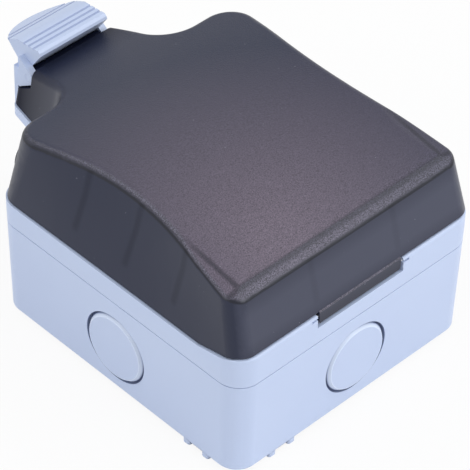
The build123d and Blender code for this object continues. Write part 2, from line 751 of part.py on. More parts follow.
with BuildPart() as latch:
    with BuildSketch(Plane.YZ.offset(-tab_half_width)):
        with BuildLine():
            Polyline(
                crest,
                crown,
                (reach_y, reach_z),
                (reach_y, root_z),
                (plate_in_y, root_z),
                (pivot_y + tab_under_forward, pivot_z + tab_under_rise),
                lip_low,
                lip_top,
                close=True,
            )
        make_face()
    extrude(amount=2 * tab_half_width)
    under_y = plate_out_y - tab_cheek
    under_z = crown[1] - tab_plate
    with BuildSketch(Plane.YZ.offset(-tab_half_width)):
        with BuildLine():
            Polyline(
                (under_y, root_z),
                (under_y, under_z),
                (crown[0] - tab_plate * end_fall, under_z),
                (reach_y, reach_z - tab_plate),
                (reach_y, root_z),
                close=True,
            )
        make_face()
    extrude(amount=2 * tab_half_width, mode=Mode.SUBTRACT)
    add(past_edge.part, mode=Mode.SUBTRACT)
    for start in (-tab_half_width, tab_half_width - tab_cheek):
        with BuildSketch(Plane.YZ.offset(start)):
            with BuildLine():
                Polyline(
                    (edge_y, edge_z),
                    crown,
                    (plate_in_y, under_z),
                    (plate_in_y, pivot_z + tab_cheek_rise),
                    (plate_out_y, pivot_z + tab_cheek_rise),
                    close=True,
                )
            make_face()
        extrude(amount=tab_cheek)
    front_fall = tab_crown_drop / tab_crown_back
    with BuildSketch(Plane.YZ.offset(-tab_half_width)):
        for step in range(3):
            run = grip_front + step * grip_pitch
            with Locations((crest[0] - run, crest[1] - run * front_fall)):
                Circle(grip_radius)
        for step in range(2):
            run = grip_back + step * grip_pitch
            with Locations((crown[0] - run, crown[1] - run * end_fall)):
                Circle(grip_radius)
    extrude(amount=2 * tab_half_width, mode=Mode.SUBTRACT)
    for inner in (arm_inner, -arm_outer):
        with BuildSketch(Plane.YZ.offset(inner)):
            with BuildLine():
                CenterArc((pivot_y, pivot_z), arm_radius, 0, 360)
                Line((pivot_y - arm_root_back, plate_low), (pivot_y - arm_root_back, pivot_z + arm_root_top))
            make_hull()
        extrude(amount=arm_thickness)
    with BuildSketch(Plane.YZ.offset(-arm_outer)):
        with BuildLine():
            Polyline(
                (plate_out_y, plate_low),
                (plate_out_y + latch_plate_lean, plate_top),
                (plate_in_y + latch_plate_lean, plate_top),
                (plate_in_y, plate_low),
                close=True,
            )
        make_face()
    extrude(amount=2 * arm_outer)
    add(bar_across(hook_out_y, plate_in_y - latch_plate / 2, pivot_z - hook_bridge, pivot_z, hook_half_width))
    add(bar_across(hook_out_y, hook_in_y, z_hook - hook_height, pivot_z - hook_bridge, hook_half_width))
    hook_tip_y = tongue_end_y + hook_reach
    add(bar_across(hook_out_y, hook_tip_y, z_hook - hook_height, z_hook, hook_half_width))
    add(rod_across(pivot_y, pivot_z, latch_pin_radius + pivot_clearance, arm_outer), mode=Mode.SUBTRACT)

# Pin of the latch, held in the tongue's nose
with BuildPart() as latch_pin:
    add(rod_across(pivot_y, pivot_z, latch_pin_radius, arm_outer - seat_clearance))

# Rubber cable seals that stand on the ledge in the lid's notches, one each side of the tongue
exit_out_y = lid_inset - half_length
cable_seals = {}
for side_name, middle in (("left", -exit_from_middle), ("right", exit_from_middle)):
    with BuildPart() as cable_seal:
        with BuildSketch(Plane.XZ.offset(-exit_out_y)):
            with Locations((middle, exit_z)):
                Circle(exit_radius)
            with Locations((middle, (exit_z + z_ledge) / 2)):
                Rectangle(2 * exit_radius, exit_z - z_ledge)
        extrude(amount=-exit_seal_depth)
    cable_seals[side_name] = cable_seal

# Outlet insert: face with pin slots and the rocker window, and a flange behind the frame floor
slot_places = [(-pin_spread, pin_row), (pin_spread, pin_row)]
window_half_width = rocker_half_width + rocker_gap
window_half_length = rocker_reach + rocker_gap
with BuildPart() as outlet_face:
    add(rounded_plate(2 * insert_half_width, 2 * insert_half_length, insert_corner, z_floor_under))
    extrude(amount=z_insert - z_floor_under)
    flange_half_width = insert_half_width + insert_fit + flange_lap_x
    flange_half_length = insert_half_length + insert_fit + flange_lap_y
    add(rounded_plate(2 * flange_half_width, 2 * flange_half_length, insert_corner, z_flange))
    extrude(amount=flange_thickness)
    add(rounded_plate(2 * rear_half_width - 2 * rear_wall, 2 * rear_half_length - 2 * rear_wall,
                      rear_wall, z_flange))
    extrude(amount=flange_thickness, mode=Mode.SUBTRACT)
    with BuildSketch(Plane.XY.offset(z_floor_under)):
        with Locations(*slot_places):
            Rectangle(slot_width, slot_height)
        with Locations((0, earth_row)):
            Rectangle(slot_height, earth_slot_height)
        with Locations((rocker_x, rocker_y)):
            Rectangle(2 * window_half_width, 2 * window_half_length)
    extrude(amount=z_insert - z_floor_under, mode=Mode.SUBTRACT)
    ear_reach = trunnion_radius * 2
    for middle in (rocker_x - window_half_width - ear_thickness / 2,
                   rocker_x + window_half_width + ear_thickness / 2):
        with BuildSketch(Plane.YZ.offset(middle - ear_thickness / 2)):
            with Locations((rocker_y, rocker_z - trunnion_drop)):
                Circle(ear_reach)
            with Locations((rocker_y, (rocker_z - trunnion_drop + z_insert) / 2)):
                Rectangle(2 * ear_reach, z_insert - rocker_z + trunnion_drop)
        extrude(amount=ear_thickness)
    with BuildSketch(Plane.YZ.offset(rocker_x - window_half_width - ear_thickness)):
        with Locations((rocker_y, rocker_z - trunnion_drop)):
            Circle(trunnion_radius + pivot_clearance)
    extrude(amount=2 * (window_half_width + ear_thickness), mode=Mode.SUBTRACT)
    with BuildSketch(Plane.XY.offset(z_flange)):
        with GridLocations(2 * insert_screw_from_middle, 2 * insert_screw_y, 2, 2):
            Circle(insert_screw_radius + hole_clearance)
    extrude(amount=flange_thickness, mode=Mode.SUBTRACT)

# Rear cover of the outlet: a tray with access holes for the terminals
terminal_places = [(-terminal_x, pin_row), (-terminal_x, earth_row), (terminal_x, live_row)]
with BuildPart() as rear_cover:
    add(rounded_plate(2 * rear_half_width, 2 * rear_half_length, insert_corner, z_rear))
    extrude(amount=rear_depth)
    add(rounded_plate(2 * flange_half_width, 2 * flange_half_length, insert_corner, z_rear_flange))
    extrude(amount=rear_flange_thickness)
    add(rounded_plate(2 * rear_half_width - 2 * rear_wall, 2 * rear_half_length - 2 * rear_wall,
                      rear_wall, z_rear + rear_wall))
    extrude(amount=rear_depth + rear_flange_thickness, mode=Mode.SUBTRACT)
    with BuildSketch(Plane.XY.offset(z_rear)):
        with Locations(*terminal_places):
            Circle(access_radius)
    extrude(amount=rear_wall, mode=Mode.SUBTRACT)
    with BuildSketch(Plane.XY.offset(z_rear_flange)):
        with GridLocations(2 * insert_screw_from_middle, 2 * insert_screw_y, 2, 2):
            Circle(insert_screw_radius + hole_clearance)
    extrude(amount=rear_flange_thickness, mode=Mode.SUBTRACT)

# Four screws that hold the rear cover and the outlet face to the frame
with BuildPart() as outlet_screws:
    with BuildSketch(Plane.XY.offset(z_rear_flange)):
        with GridLocations(2 * insert_screw_from_middle, 2 * insert_screw_y, 2, 2):
            Circle(insert_screw_head_radius)
    extrude(amount=-insert_screw_head_height)
    with BuildSketch(Plane.XY.offset(z_rear_flange)):
        with GridLocations(2 * insert_screw_from_middle, 2 * insert_screw_y, 2, 2):
            Circle(insert_screw_radius)
    extrude(amount=z_floor_under + insert_screw_bite - seat_clearance - z_rear_flange)

# Rocker, drawn on a plane tilted to its off position
tilt = radians(rocker_facet)
rocker_axis_z = rocker_z - trunnion_drop
rocker_plane = Plane(
    origin=(rocker_x - rocker_half_width, rocker_y, rocker_axis_z),
    x_dir=(0, cos(tilt), sin(tilt)),
    z_dir=(1, 0, 0),
)
with BuildPart() as rocker:
    facet_rise = rocker_reach * tan(tilt)
    with BuildSketch(rocker_plane):
        with BuildLine():
            Polyline(
                (0, rocker_crest),
                (rocker_reach, rocker_crest + facet_rise),
                (rocker_reach, -trunnion_radius),
                (stem_half_width, -rocker_depth),
                (-stem_half_width, -rocker_depth),
                (-rocker_reach, -trunnion_radius),
                (-rocker_reach, rocker_crest + facet_rise),
                close=True,
            )
        make_face()
        Circle(rocker_reach, mode=Mode.INTERSECT)
    extrude(amount=2 * rocker_half_width)
    with BuildSketch(rocker_plane.offset(rocker_half_width - stem_half_width)):
        with Locations((0, -stem_length / 2)):
            Rectangle(2 * stem_half_width, stem_length)
    extrude(amount=2 * stem_half_width)
    with BuildSketch(rocker_plane.offset(-trunnion_length)):
        Circle(trunnion_radius)
    extrude(amount=2 * (rocker_half_width + trunnion_length))

# Shutter with an earth ramp, and its leaf spring
shutter_low_y = pin_row - slot_height / 2 - shutter_lap
shutter_high_y = pin_row + slot_height / 2 + shutter_lap
ramp_foot_y = earth_row - earth_slot_height / 2 - shutter_lap
ramp_end_y = ramp_foot_y + shutter_travel + shutter_lap
with BuildPart() as shutter:
    with BuildSketch(Plane.XY.offset(z_shutter - shutter_thickness)):
        with Locations((0, (shutter_low_y + shutter_high_y) / 2)):
            Rectangle(2 * shutter_half_width, shutter_high_y - shutter_low_y)
        with Locations((0, (shutter_high_y + ramp_foot_y) / 2)):
            Rectangle(2 * shutter_arm_half, ramp_foot_y - shutter_high_y)
    extrude(amount=shutter_thickness)
    with BuildSketch(Plane.YZ.offset(-shutter_arm_half)):
        with BuildLine():
            Polyline(
                (ramp_foot_y, z_shutter),
                (ramp_end_y, z_shutter - shutter_ramp),
                (ramp_end_y - shutter_thickness, z_shutter - shutter_ramp),
                (ramp_foot_y, z_shutter - shutter_thickness),
                close=True,
            )
        make_face()
    extrude(amount=2 * shutter_arm_half)

spring_wall_y = -rear_half_length + rear_wall
with BuildPart() as shutter_spring:
    with BuildSketch(Plane.XY.offset(z_shutter - shutter_thickness)):
        with BuildLine():
            spring_path = Polyline(
                (-spring_width, shutter_low_y - spring_leaf),
                (0, spring_wall_y + spring_leaf),
                (spring_width, shutter_low_y - spring_leaf),
            )
            offset(spring_path, spring_leaf / 2, side=Side.BOTH)
        make_face()
    extrude(amount=shutter_thickness)

# Brass contacts: a spring clip under each slot, joined by a strap to its terminal
z_strap = z_clip - clip_depth


def clip(x, y, width, height, depth):
    """Open-topped clip around one pin, with its floor on the strap."""
    with BuildSketch(Plane.XY.offset(z_strap)) as shell:
        with Locations((x, y)):
            Rectangle(width + 2 * clip_wall, height + 2 * clip_wall)
            Rectangle(width, height, mode=Mode.SUBTRACT)
    return extrude(shell.sketch, amount=depth, mode=Mode.PRIVATE)


def strap(x_from, x_to, y_from, y_to):
    """Flat strap at the foot of the clips."""
    with BuildSketch(Plane.XY.offset(z_strap - strap_thickness)) as flat:
        with Locations(((x_from + x_to) / 2, (y_from + y_to) / 2)):
            Rectangle(x_to - x_from, y_to - y_from)
    return extrude(flat.sketch, amount=strap_thickness, mode=Mode.PRIVATE)


def terminal(x, y):
    """Terminal block with a cross hole for the wire and a screw hole from the rear."""
    with BuildPart() as block:
        with Locations((x, y, z_terminal)):
            Box(terminal_size, terminal_size, terminal_height, align=(Align.CENTER, Align.CENTER, Align.MIN))
        with BuildSketch(Plane.XY.offset(z_terminal)):
            with Locations((x, y)):
                Circle(terminal_screw_radius)
        extrude(amount=terminal_screw_length, mode=Mode.SUBTRACT)
        with BuildSketch(Plane.YZ.offset(x - terminal_size / 2)):
            with Locations((y, z_terminal + terminal_screw_length)):
                Circle(wire_hole_radius)
        extrude(amount=terminal_size, mode=Mode.SUBTRACT)
    return block.part


pin_width = slot_width - 2 * clip_play
pin_height = slot_height - 2 * clip_play
earth_height = earth_slot_height - 2 * clip_play
half_strap = strap_width / 2
strap_start = terminal_x - terminal_size / 2 + strap_thickness / 2
z_blade = z_terminal + terminal_height
post_y = pin_row + 2 * strap_width
neutral_block = terminal(-terminal_x, pin_row)
earth_block = terminal(-terminal_x, earth_row)
live_block = terminal(terminal_x, live_row)
with BuildPart() as neutral_contact:
    add(clip(-pin_spread, pin_row, pin_width, pin_height, clip_depth))
    add(strap(-strap_start, half_strap - pin_spread, pin_row - half_strap, pin_row + half_strap))
    add(neutral_block)

with BuildPart() as earth_contact:
    add(clip(0, earth_row, pin_height, earth_height, clip_depth - shutter_ramp + shutter_thickness))
    add(strap(-strap_start, half_strap, earth_row - half_strap, earth_row + half_strap))
    add(earth_block)

with BuildPart() as live_contact:
    add(clip(pin_spread, pin_row, pin_width, pin_height, clip_depth))
    add(strap(pin_spread - half_strap, terminal_x + half_strap, pin_row - half_strap, pin_row + half_strap))
    add(strap(terminal_x - half_strap, terminal_x + half_strap, pin_row, post_y + half_strap))
    with BuildSketch(Plane.XY.offset(z_strap)):
        with Locations((terminal_x, post_y)):
            Rectangle(half_strap, half_strap)
    extrude(amount=z_blade - blade_gap - z_strap)

with BuildPart() as live_terminal:
    add(live_block)

# Springy switch blade on the live terminal, reaching over the live strap
blade_end = post_y - half_strap
blade_start = live_row + terminal_size / 2
with BuildPart() as switch_blade:
    with BuildSketch(Plane.YZ.offset(terminal_x - half_strap)):
        with BuildLine():
            Polyline(
                (blade_start, z_blade),
                (blade_start, z_blade + blade_thickness),
                (blade_end, z_blade + blade_thickness),
                (blade_end, z_blade),
                close=True,
            )
        make_face()
    extrude(amount=strap_width)

# Terminal screws, entered from the rear
with BuildPart() as terminal_screws:
    with BuildSketch(Plane.XY.offset(z_terminal)):
        with Locations(*terminal_places):
            Circle(terminal_screw_radius)
    extrude(amount=terminal_screw_length - wire_hole_radius)
    with BuildSketch(Plane.XY.offset(z_terminal)):
        with Locations(*terminal_places):
            Circle(terminal_screw_head)
    extrude(amount=-terminal_rise / 2)

# Earth terminal on its post in the back box
z_earth_post = z_back + box_floor + earth_post_height
with BuildPart() as earth_terminal:
    with Locations((earth_post_x, earth_post_y, z_earth_post)):
        Box(terminal_size, terminal_size, terminal_size, align=(Align.CENTER, Align.CENTER, Align.MIN))
    with BuildSketch(Plane.XY.offset(z_earth_post)):
        with Locations((earth_post_x, earth_post_y)):
            Circle(terminal_screw_radius)
    extrude(amount=terminal_size, mode=Mode.SUBTRACT)
    with BuildSketch(Plane.YZ.offset(earth_post_x - terminal_size / 2)):
        with Locations((earth_post_y, z_earth_post + terminal_size / 2)):
            Circle(wire_hole_radius)
    extrude(amount=terminal_size, mode=Mode.SUBTRACT)

with BuildPart() as earth_terminal_screw:
    with Locations((earth_post_x, earth_post_y, z_back + box_floor)):
        Cylinder(terminal_screw_radius, earth_post_height + terminal_size,
                 align=(Align.CENTER, Align.CENTER, Align.MIN))
    with Locations((earth_post_x, earth_post_y, z_earth_post + terminal_size)):
        Cylinder(terminal_screw_head, terminal_rise / 2, align=(Align.CENTER, Align.CENTER, Align.MIN))

# Write each piece as its own file
pieces = {
    "back_box": back_box,
    "box_gasket": box_gasket,
    "front_frame": front_frame,
    "frame_screws": frame_screws,
    "lid_seal": lid_seal,
    "lid": lid,
    "hinge_pin": hinge_pin,
    "latch": latch,
    "latch_pin": latch_pin,
    "cable_seal_left": cable_seals["left"],
    "cable_seal_right": cable_seals["right"],
    "outlet_face": outlet_face,
    "rear_cover": rear_cover,
    "outlet_screws": outlet_screws,
    "rocker": rocker,
    "shutter": shutter,
    "shutter_spring": shutter_spring,
    "neutral_contact": neutral_contact,
    "earth_contact": earth_contact,
    "live_contact": live_contact,
    "live_terminal": live_terminal,
    "switch_blade": switch_blade,
    "terminal_screws": terminal_screws,
    "earth_terminal": earth_terminal,
    "earth_terminal_screw": earth_terminal_screw,
}
os.makedirs("parts", exist_ok=True)
for name, piece in pieces.items():
    piece.part.label = name
    export_step(piece.part, f"parts/{name}.step")
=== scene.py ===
"""Looks of an outdoor weatherproof socket: finishes, softened mouldings, fine pieces and the studio.

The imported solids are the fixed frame, in metres. Every piece added here rides on one of their bodies.
"""

import logging
import math
from dataclasses import dataclass
from enum import Enum

import bmesh
import bpy
from mathutils import Matrix, Vector


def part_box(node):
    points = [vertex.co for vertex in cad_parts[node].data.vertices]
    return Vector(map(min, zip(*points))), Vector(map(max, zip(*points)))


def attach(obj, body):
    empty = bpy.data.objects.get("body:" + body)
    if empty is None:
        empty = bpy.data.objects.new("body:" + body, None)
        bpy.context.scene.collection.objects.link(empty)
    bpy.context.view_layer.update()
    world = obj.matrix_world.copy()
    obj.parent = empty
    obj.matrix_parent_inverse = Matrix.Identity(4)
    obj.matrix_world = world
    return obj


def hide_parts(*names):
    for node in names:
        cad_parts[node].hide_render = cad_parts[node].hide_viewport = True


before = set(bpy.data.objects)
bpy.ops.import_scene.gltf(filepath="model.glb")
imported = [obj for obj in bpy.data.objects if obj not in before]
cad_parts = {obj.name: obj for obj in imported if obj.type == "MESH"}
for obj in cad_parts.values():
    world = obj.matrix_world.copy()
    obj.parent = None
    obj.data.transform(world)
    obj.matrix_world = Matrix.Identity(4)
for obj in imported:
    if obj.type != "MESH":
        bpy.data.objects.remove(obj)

LOG = logging.getLogger("weatherproof_socket")
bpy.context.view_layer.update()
MM = 0.001

Colour = tuple[float, float, float]
Triple = tuple[float, float, float]
Span = tuple[float, float]
Shade = tuple[float, float, float, float]
Socket = bpy.types.NodeSocket


def linear(colour: Colour) -> Shade:
    """Turn a screen colour into the shader's linear light.

    Args:
        colour: Red, green and blue as shown on a screen, from 0 to 255.

    Returns:
        Linear red, green and blue, with full alpha.
    """
    values = []
    for part in colour:
        share = part / 255
        values.append(share / 12.92 if share <= 0.04045 else ((share + 0.055) / 1.055) ** 2.4)
    return (*values, 1.0)


class Body(Enum):
    """Bodies of the frame that pieces ride on."""

    BASE = "base"
    LID = "lid"
    LATCH = "latch"
    ROCKER = "rocker"
    SHUTTER = "shutter"


class Slot(Enum):
    """Material slots of the record."""

    SHELL = "shell"
    SMOKED = "smoked"
    RUBBER = "rubber"
    STEEL = "steel"
    BRASS = "brass"
    OUTLET = "outlet"
    COVER = "cover"
    SHUTTER = "shutter"


class ShaderSheet:
    """Node tree of one material, with short calls for the nodes it needs."""

    # Part of a soft line's half width that has its full strength
    line_core: float = 0.3

    def __init__(self, name: str) -> None:
        """Start a material with a Principled shader and Object coordinates.

        Args:
            name: The material's name.
        """
        self.material = bpy.data.materials.new(name)
        self.material.use_nodes = True
        self.tree = self.material.node_tree
        self.shader = self.tree.nodes["Principled BSDF"]
        self.place = self.node("ShaderNodeTexCoord").outputs["Object"]

    def node(self, kind: str, **settings: object) -> bpy.types.Node:
        """Add a node and set its properties.

        Args:
            kind: The node's type.
            settings: The node's own properties.

        Returns:
            The node.
        """
        made = self.tree.nodes.new(kind)
        for key, value in settings.items():
            setattr(made, key, value)
        return made

    def feed(self, source: Socket, target: Socket) -> None:
        """Link an output to an input."""
        self.tree.links.new(source, target)

    def give(self, label: str, source: Socket) -> None:
        """Link an output to an input of the shader.

        Args:
            label: Name of the shader's input.
            source: What it takes.
        """
        self.feed(source, self.shader.inputs[label])

    def noise(self, size: float, detail: float = 2.0, stretch: Triple = (1, 1, 1)) -> Socket:
        """Noise whose features have about a given size.

        Args:
            size: Size of a feature, in metres.
            detail: Octaves of finer noise.
            stretch: Scale along X, Y and Z before the noise is read.

        Returns:
            The noise value, from 0 to 1.
        """
        mapping = self.node("ShaderNodeMapping")
        mapping.inputs["Scale"].default_value = stretch
        self.feed(self.place, mapping.inputs["Vector"])
        texture = self.node("ShaderNodeTexNoise")
        texture.inputs["Scale"].default_value = 1 / size
        texture.inputs["Detail"].default_value = detail
        self.feed(mapping.outputs["Vector"], texture.inputs["Vector"])
        return texture.outputs["Fac"]

    def spread(self, source: Socket, low: float, high: float, start: float = 0.3, end: float = 0.7) -> Socket:
        """Map a value from one range to another, clamped.

        Args:
            source: The value.
            low: Result at the range's start.
            high: Result at the range's end.
            start: Where the value's range starts.
            end: Where it ends.

        Returns:
            The mapped value.
        """
        mapped = self.node("ShaderNodeMapRange")
        mapped.inputs["From Min"].default_value = start
        mapped.inputs["From Max"].default_value = end
        mapped.inputs["To Min"].default_value = low
        mapped.inputs["To Max"].default_value = high
        self.feed(source, mapped.inputs["Value"])
        return mapped.outputs["Result"]

    def blend(self, share: Socket, first: Socket | Colour, second: Socket | Colour) -> Socket:
        """Mix two colours by a share.

        Args:
            share: 0 for the first colour, 1 for the second.
            first: A socket or a screen colour.
            second: A socket or a screen colour.

        Returns:
            The mixed colour.
        """
        mixed = self.node("ShaderNodeMix", data_type="RGBA")
        self.feed(share, mixed.inputs["Factor"])
        for label, value in (("A", first), ("B", second)):
            if isinstance(value, Socket):
                self.feed(value, mixed.inputs[label])
            else:
                mixed.inputs[label].default_value = linear(value)
        return mixed.outputs["Result"]

    def dim(self, share: Socket, colour: Socket, factor: Shade) -> Socket:
        """Multiply a colour by a factor, as far as a share says.

        Args:
            share: 0 to leave the colour as it is, 1 to multiply it in full.
            colour: The colour.
            factor: What each channel is multiplied by.

        Returns:
            The dimmed colour.
        """
        mixed = self.node("ShaderNodeMix", data_type="RGBA", blend_type="MULTIPLY")
        self.feed(share, mixed.inputs["Factor"])
        self.feed(colour, mixed.inputs["A"])
        mixed.inputs["B"].default_value = factor
        return mixed.outputs["Result"]

    def ramp(self, share: Socket, stops: tuple[tuple[float, Colour], ...]) -> Socket:
        """Run through screen colours, each at its own share.

        Args:
            share: Where on the ramp to read.
            stops: Each place on the ramp with its screen colour.

        Returns:
            The colour there.
        """
        made = self.node("ShaderNodeValToRGB")
        elements = made.color_ramp.elements
        while len(elements) < len(stops):
            elements.new(1.0)
        for element, (place, colour) in zip(elements, stops):
            element.position = place
            element.color = linear(colour)
        self.feed(share, made.inputs["Fac"])
        return made.outputs["Color"]

    def bump(self, height: Socket, depth: float) -> Socket:
        """Bump of a given depth.

        Args:
            height: Height of the surface, from 0 to 1.
            depth: Depth of the whole range, in metres.

        Returns:
            The bumped normal.
        """
        made = self.node("ShaderNodeBump")
        made.inputs["Strength"].default_value = 1.0
        made.inputs["Distance"].default_value = depth
        self.feed(height, made.inputs["Height"])
        return made.outputs["Normal"]

    def work(self, operation: str, *sources: Socket | float) -> Socket:
        """Do one step of arithmetic on sockets and numbers.

        Args:
            operation: The Math node's operation.
            sources: What it works on.

        Returns:
            The result.
        """
        made = self.node("ShaderNodeMath", operation=operation)
        for target, source in zip(made.inputs, sources):
            if isinstance(source, Socket):
                self.feed(source, target)
            else:
                target.default_value = source
        return made.outputs["Value"]

    def product(self, first: Socket, *others: Socket | float) -> Socket:
        """Multiply any number of values."""
        for other in others:
            first = self.work("MULTIPLY", first, other)
        return first

    def most(self, first: Socket, *others: Socket | float) -> Socket:
        """Take the largest of any number of values."""
        for other in others:
            first = self.work("MAXIMUM", first, other)
        return first

    def axes(self, source: Socket) -> tuple[Socket, ...]:
        """Split a vector into its X, Y and Z."""
        split = self.node("ShaderNodeSeparateXYZ")
        self.feed(source, split.inputs["Vector"])
        return tuple(split.outputs)

    def line(self, source: Socket, middle: float, half: float) -> Socket:
        """Draw a soft line.

        Args:
            source: The value that the line lies on.
            middle: The value at the line's middle.
            half: Half of the line's width.

        Returns:
            1 at the line's middle and 0 beyond its half width.
        """
        apart = self.work("ABSOLUTE", self.work("SUBTRACT", source, middle))
        return self.spread(apart, 1, 0, self.line_core * half, half)


@dataclass(frozen=True)
class MouldedFinish:
    """Opaque moulded plastic with a fine skin and a slow drift of tone."""

    name: str
    colour: Colour
    drift_colour: Colour
    roughness: Span = (0.36, 0.46)
    skin_size: float = 0.35 * MM
    skin_depth: float = 0.006 * MM
    drift_size: float = 40 * MM

    def tone(self, sheet: ShaderSheet) -> Socket:
        """Colour of the plastic, which drifts slowly.

        Args:
            sheet: The material's node tree.

        Returns:
            The colour's socket.
        """
        drift = sheet.spread(sheet.noise(self.drift_size), 0, 1)
        return sheet.blend(drift, self.colour, self.drift_colour)

    def material(self) -> bpy.types.Material:
        """Build the plastic's node tree.

        Returns:
            The finished material.
        """
        sheet = ShaderSheet(self.name)
        skin = sheet.noise(self.skin_size, detail=3.0)
        sheet.give("Base Color", self.tone(sheet))
        sheet.give("Roughness", sheet.spread(skin, *self.roughness))
        sheet.give("Normal", sheet.bump(skin, self.skin_depth))
        return sheet.material


@dataclass(frozen=True)
class KnockoutPair:
    """The round knockouts in two facing walls of the box.

    Attributes:
        axis: Axis that the walls face along: 0 for X, 1 for Y.
        height: Height of the knockouts' middle.
        wall: Distance of the discs' faces from the box's middle.
        outside: Distance beyond which a point belongs to the wall's outside.
    """

    axis: int
    height: float
    wall: float
    outside: float


KNOCKOUTS = (
    KnockoutPair(axis=0, height=18.2 * MM, wall=49.37 * MM, outside=46.5 * MM),
    KnockoutPair(axis=1, height=19.1 * MM, wall=52.54 * MM, outside=50.0 * MM),
)


@dataclass(frozen=True)
class BoxFinish(MouldedFinish):
    """The box's plastic, with painted shade at the bottom of the knockout grooves and a painted highlight on
    their bevels.
    """

    # Painted shade at the bottom of the knockout grooves
    groove_shade: Colour = (78, 90, 124)
    # Painted highlight on the knockouts' bevels
    bevel: Colour = (212, 224, 246)
    groove_shade_ring: Span = (12.2 * MM, 0.5 * MM)
    bevel_highlight_ring: Span = (11.2 * MM, 0.5 * MM)
    full_ring: float = 0.5

    def tone(self, sheet: ShaderSheet) -> Socket:
        """Colour of the plastic with the knockout rings of painted highlight and painted shade.

        Args:
            sheet: The material's node tree.

        Returns:
            The colour's socket.
        """
        place = sheet.axes(sheet.place)
        colour = MouldedFinish.tone(self, sheet)
        for pair in KNOCKOUTS:
            across = place[1 - pair.axis]
            rise = sheet.work("SUBTRACT", place[2], pair.height)
            squares = sheet.work("ADD", sheet.product(across, across), sheet.product(rise, rise))
            reach = sheet.work("SQRT", squares)
            outside = sheet.work("GREATER_THAN", sheet.work("ABSOLUTE", place[pair.axis]), pair.outside)
            # Each knockout gets a painted highlight on its bevel, then painted shade at its groove's bottom
            for ring, tint in ((self.bevel_highlight_ring, self.bevel), (self.groove_shade_ring, self.groove_shade)):
                share = sheet.spread(sheet.line(reach, *ring), 0, 1, 0, self.full_ring)
                colour = sheet.blend(sheet.product(share, outside), colour, tint)
        return colour


@dataclass(frozen=True)
class GripRun:
    """Grip lines across the latch's tab that follow one another by even steps, as Y and Z."""

    start: Span
    step: Span
    count: int

    def places(self) -> list[Span]:
        """Place of each line, as Y and Z."""
        return [(self.start[0] + turn * self.step[0], self.start[1] + turn * self.step[1])
                for turn in range(self.count)]


@dataclass(frozen=True)
class LatchFinish(MouldedFinish):
    """The latch's plastic, with painted shade in the grip lines across its tab."""

    # Painted shade in the grip lines
    grip_shade: Colour = (156, 170, 204)
    runs: tuple[GripRun, ...] = (
        GripRun((-75.6 * MM, 68.81 * MM), (-2.2 * MM, -0.21 * MM), 3),
        GripRun((-87.4 * MM, 65.76 * MM), (-2.2 * MM, -1.17 * MM), 2),
    )
    half_line: float = 0.6 * MM
    grip_shade_range: Span = (0.1, 0.6)

    def tone(self, sheet: ShaderSheet) -> Socket:
        """Colour of the plastic with painted shade in the grip lines.

        Args:
            sheet: The material's node tree.

        Returns:
            The colour's socket.
        """
        _, y, z = sheet.axes(sheet.place)
        lines = [sheet.product(sheet.line(y, line_y, self.half_line), sheet.line(z, line_z, self.half_line))
                 for run in self.runs for line_y, line_z in run.places()]
        # Painted shade along each grip line
        share = sheet.spread(sheet.most(*lines), 0, 1, *self.grip_shade_range)
        return sheet.blend(share, MouldedFinish.tone(self, sheet), self.grip_shade)


@dataclass(frozen=True)
class MetalFinish:
    """Drawn or turned metal with fine lines and a little tarnish."""

    name: str
    colour: Colour
    tarnish: Colour
    roughness: Span = (0.22, 0.42)
    line_size: float = 0.25 * MM
    line_stretch: Triple = (0.15, 1.0, 1.0)
    line_depth: float = 0.004 * MM
    cloud_size: float = 6 * MM
    cloud_range: Span = (0.45, 0.8)

    def material(self) -> bpy.types.Material:
        """Build the metal's node tree.

        Returns:
            The finished material.
        """
        sheet = ShaderSheet(self.name)
        lines = sheet.noise(self.line_size, detail=3.0, stretch=self.line_stretch)
        cloud = sheet.spread(sheet.noise(self.cloud_size, detail=4.0), 0, 1, *self.cloud_range)
        sheet.give("Base Color", sheet.blend(cloud, self.colour, self.tarnish))
        sheet.give("Roughness", sheet.spread(lines, *self.roughness))
        sheet.give("Normal", sheet.bump(lines, self.line_depth))
        sheet.shader.inputs["Metallic"].default_value = 1.0
        return sheet.material


@dataclass(frozen=True)
class RubberFinish:
    """Matt black rubber with a faint bloom."""

    name: str = "black_rubber"
    colour: Colour = (38, 38, 40)
    bloom: Colour = (62, 62, 65)
    bloom_size: float = 3 * MM
    bloom_range: Span = (0.4, 0.75)
    pore_size: float = 0.3 * MM
    pore_depth: float = 0.01 * MM
    roughness: Span = (0.62, 0.8)

    def material(self) -> bpy.types.Material:
        """Build the rubber's node tree.

        Returns:
            The finished material.
        """
        sheet = ShaderSheet(self.name)
        bloom = sheet.spread(sheet.noise(self.bloom_size, detail=5.0), 0, 1, *self.bloom_range)
        pores = sheet.noise(self.pore_size, detail=3.0)
        sheet.give("Base Color", sheet.blend(bloom, self.colour, self.bloom))
        sheet.give("Roughness", sheet.spread(pores, *self.roughness))
        sheet.give("Normal", sheet.bump(pores, self.pore_depth))
        return sheet.material


@dataclass(frozen=True)
class RibPlaces:
    """Places of the half-round ribs inside the lid's walls, whose painted shadow shows faintly from outside.
    """

    first: float = -19.5 * MM
    pitch: float = 21.4 * MM
    count: int = 3
    leaf_end: float = 17.0 * MM
    low: float = 51.5 * MM
    high: float = 65.0 * MM
    radius: float = 0.75 * MM
    shadow: float = 1.7 * MM
    draft: float = 1.3 * MM

    def along(self) -> list[float]:
        """Places along the long walls."""
        return [self.first + step * self.pitch for step in range(self.count)]


class LidSheet(ShaderSheet):
    """Node tree of the lid's material, which knows where a point lies and which way its surface faces."""

    def __init__(self, name: str) -> None:
        """Start the material.

        Args:
            name: The material's name.
        """
        super().__init__(name)
        self.x, self.y, self.z = self.axes(self.place)
        normal = self.node("ShaderNodeTexCoord").outputs["Normal"]
        self.to_side, self.to_hinge, self.to_top = self.axes(normal)


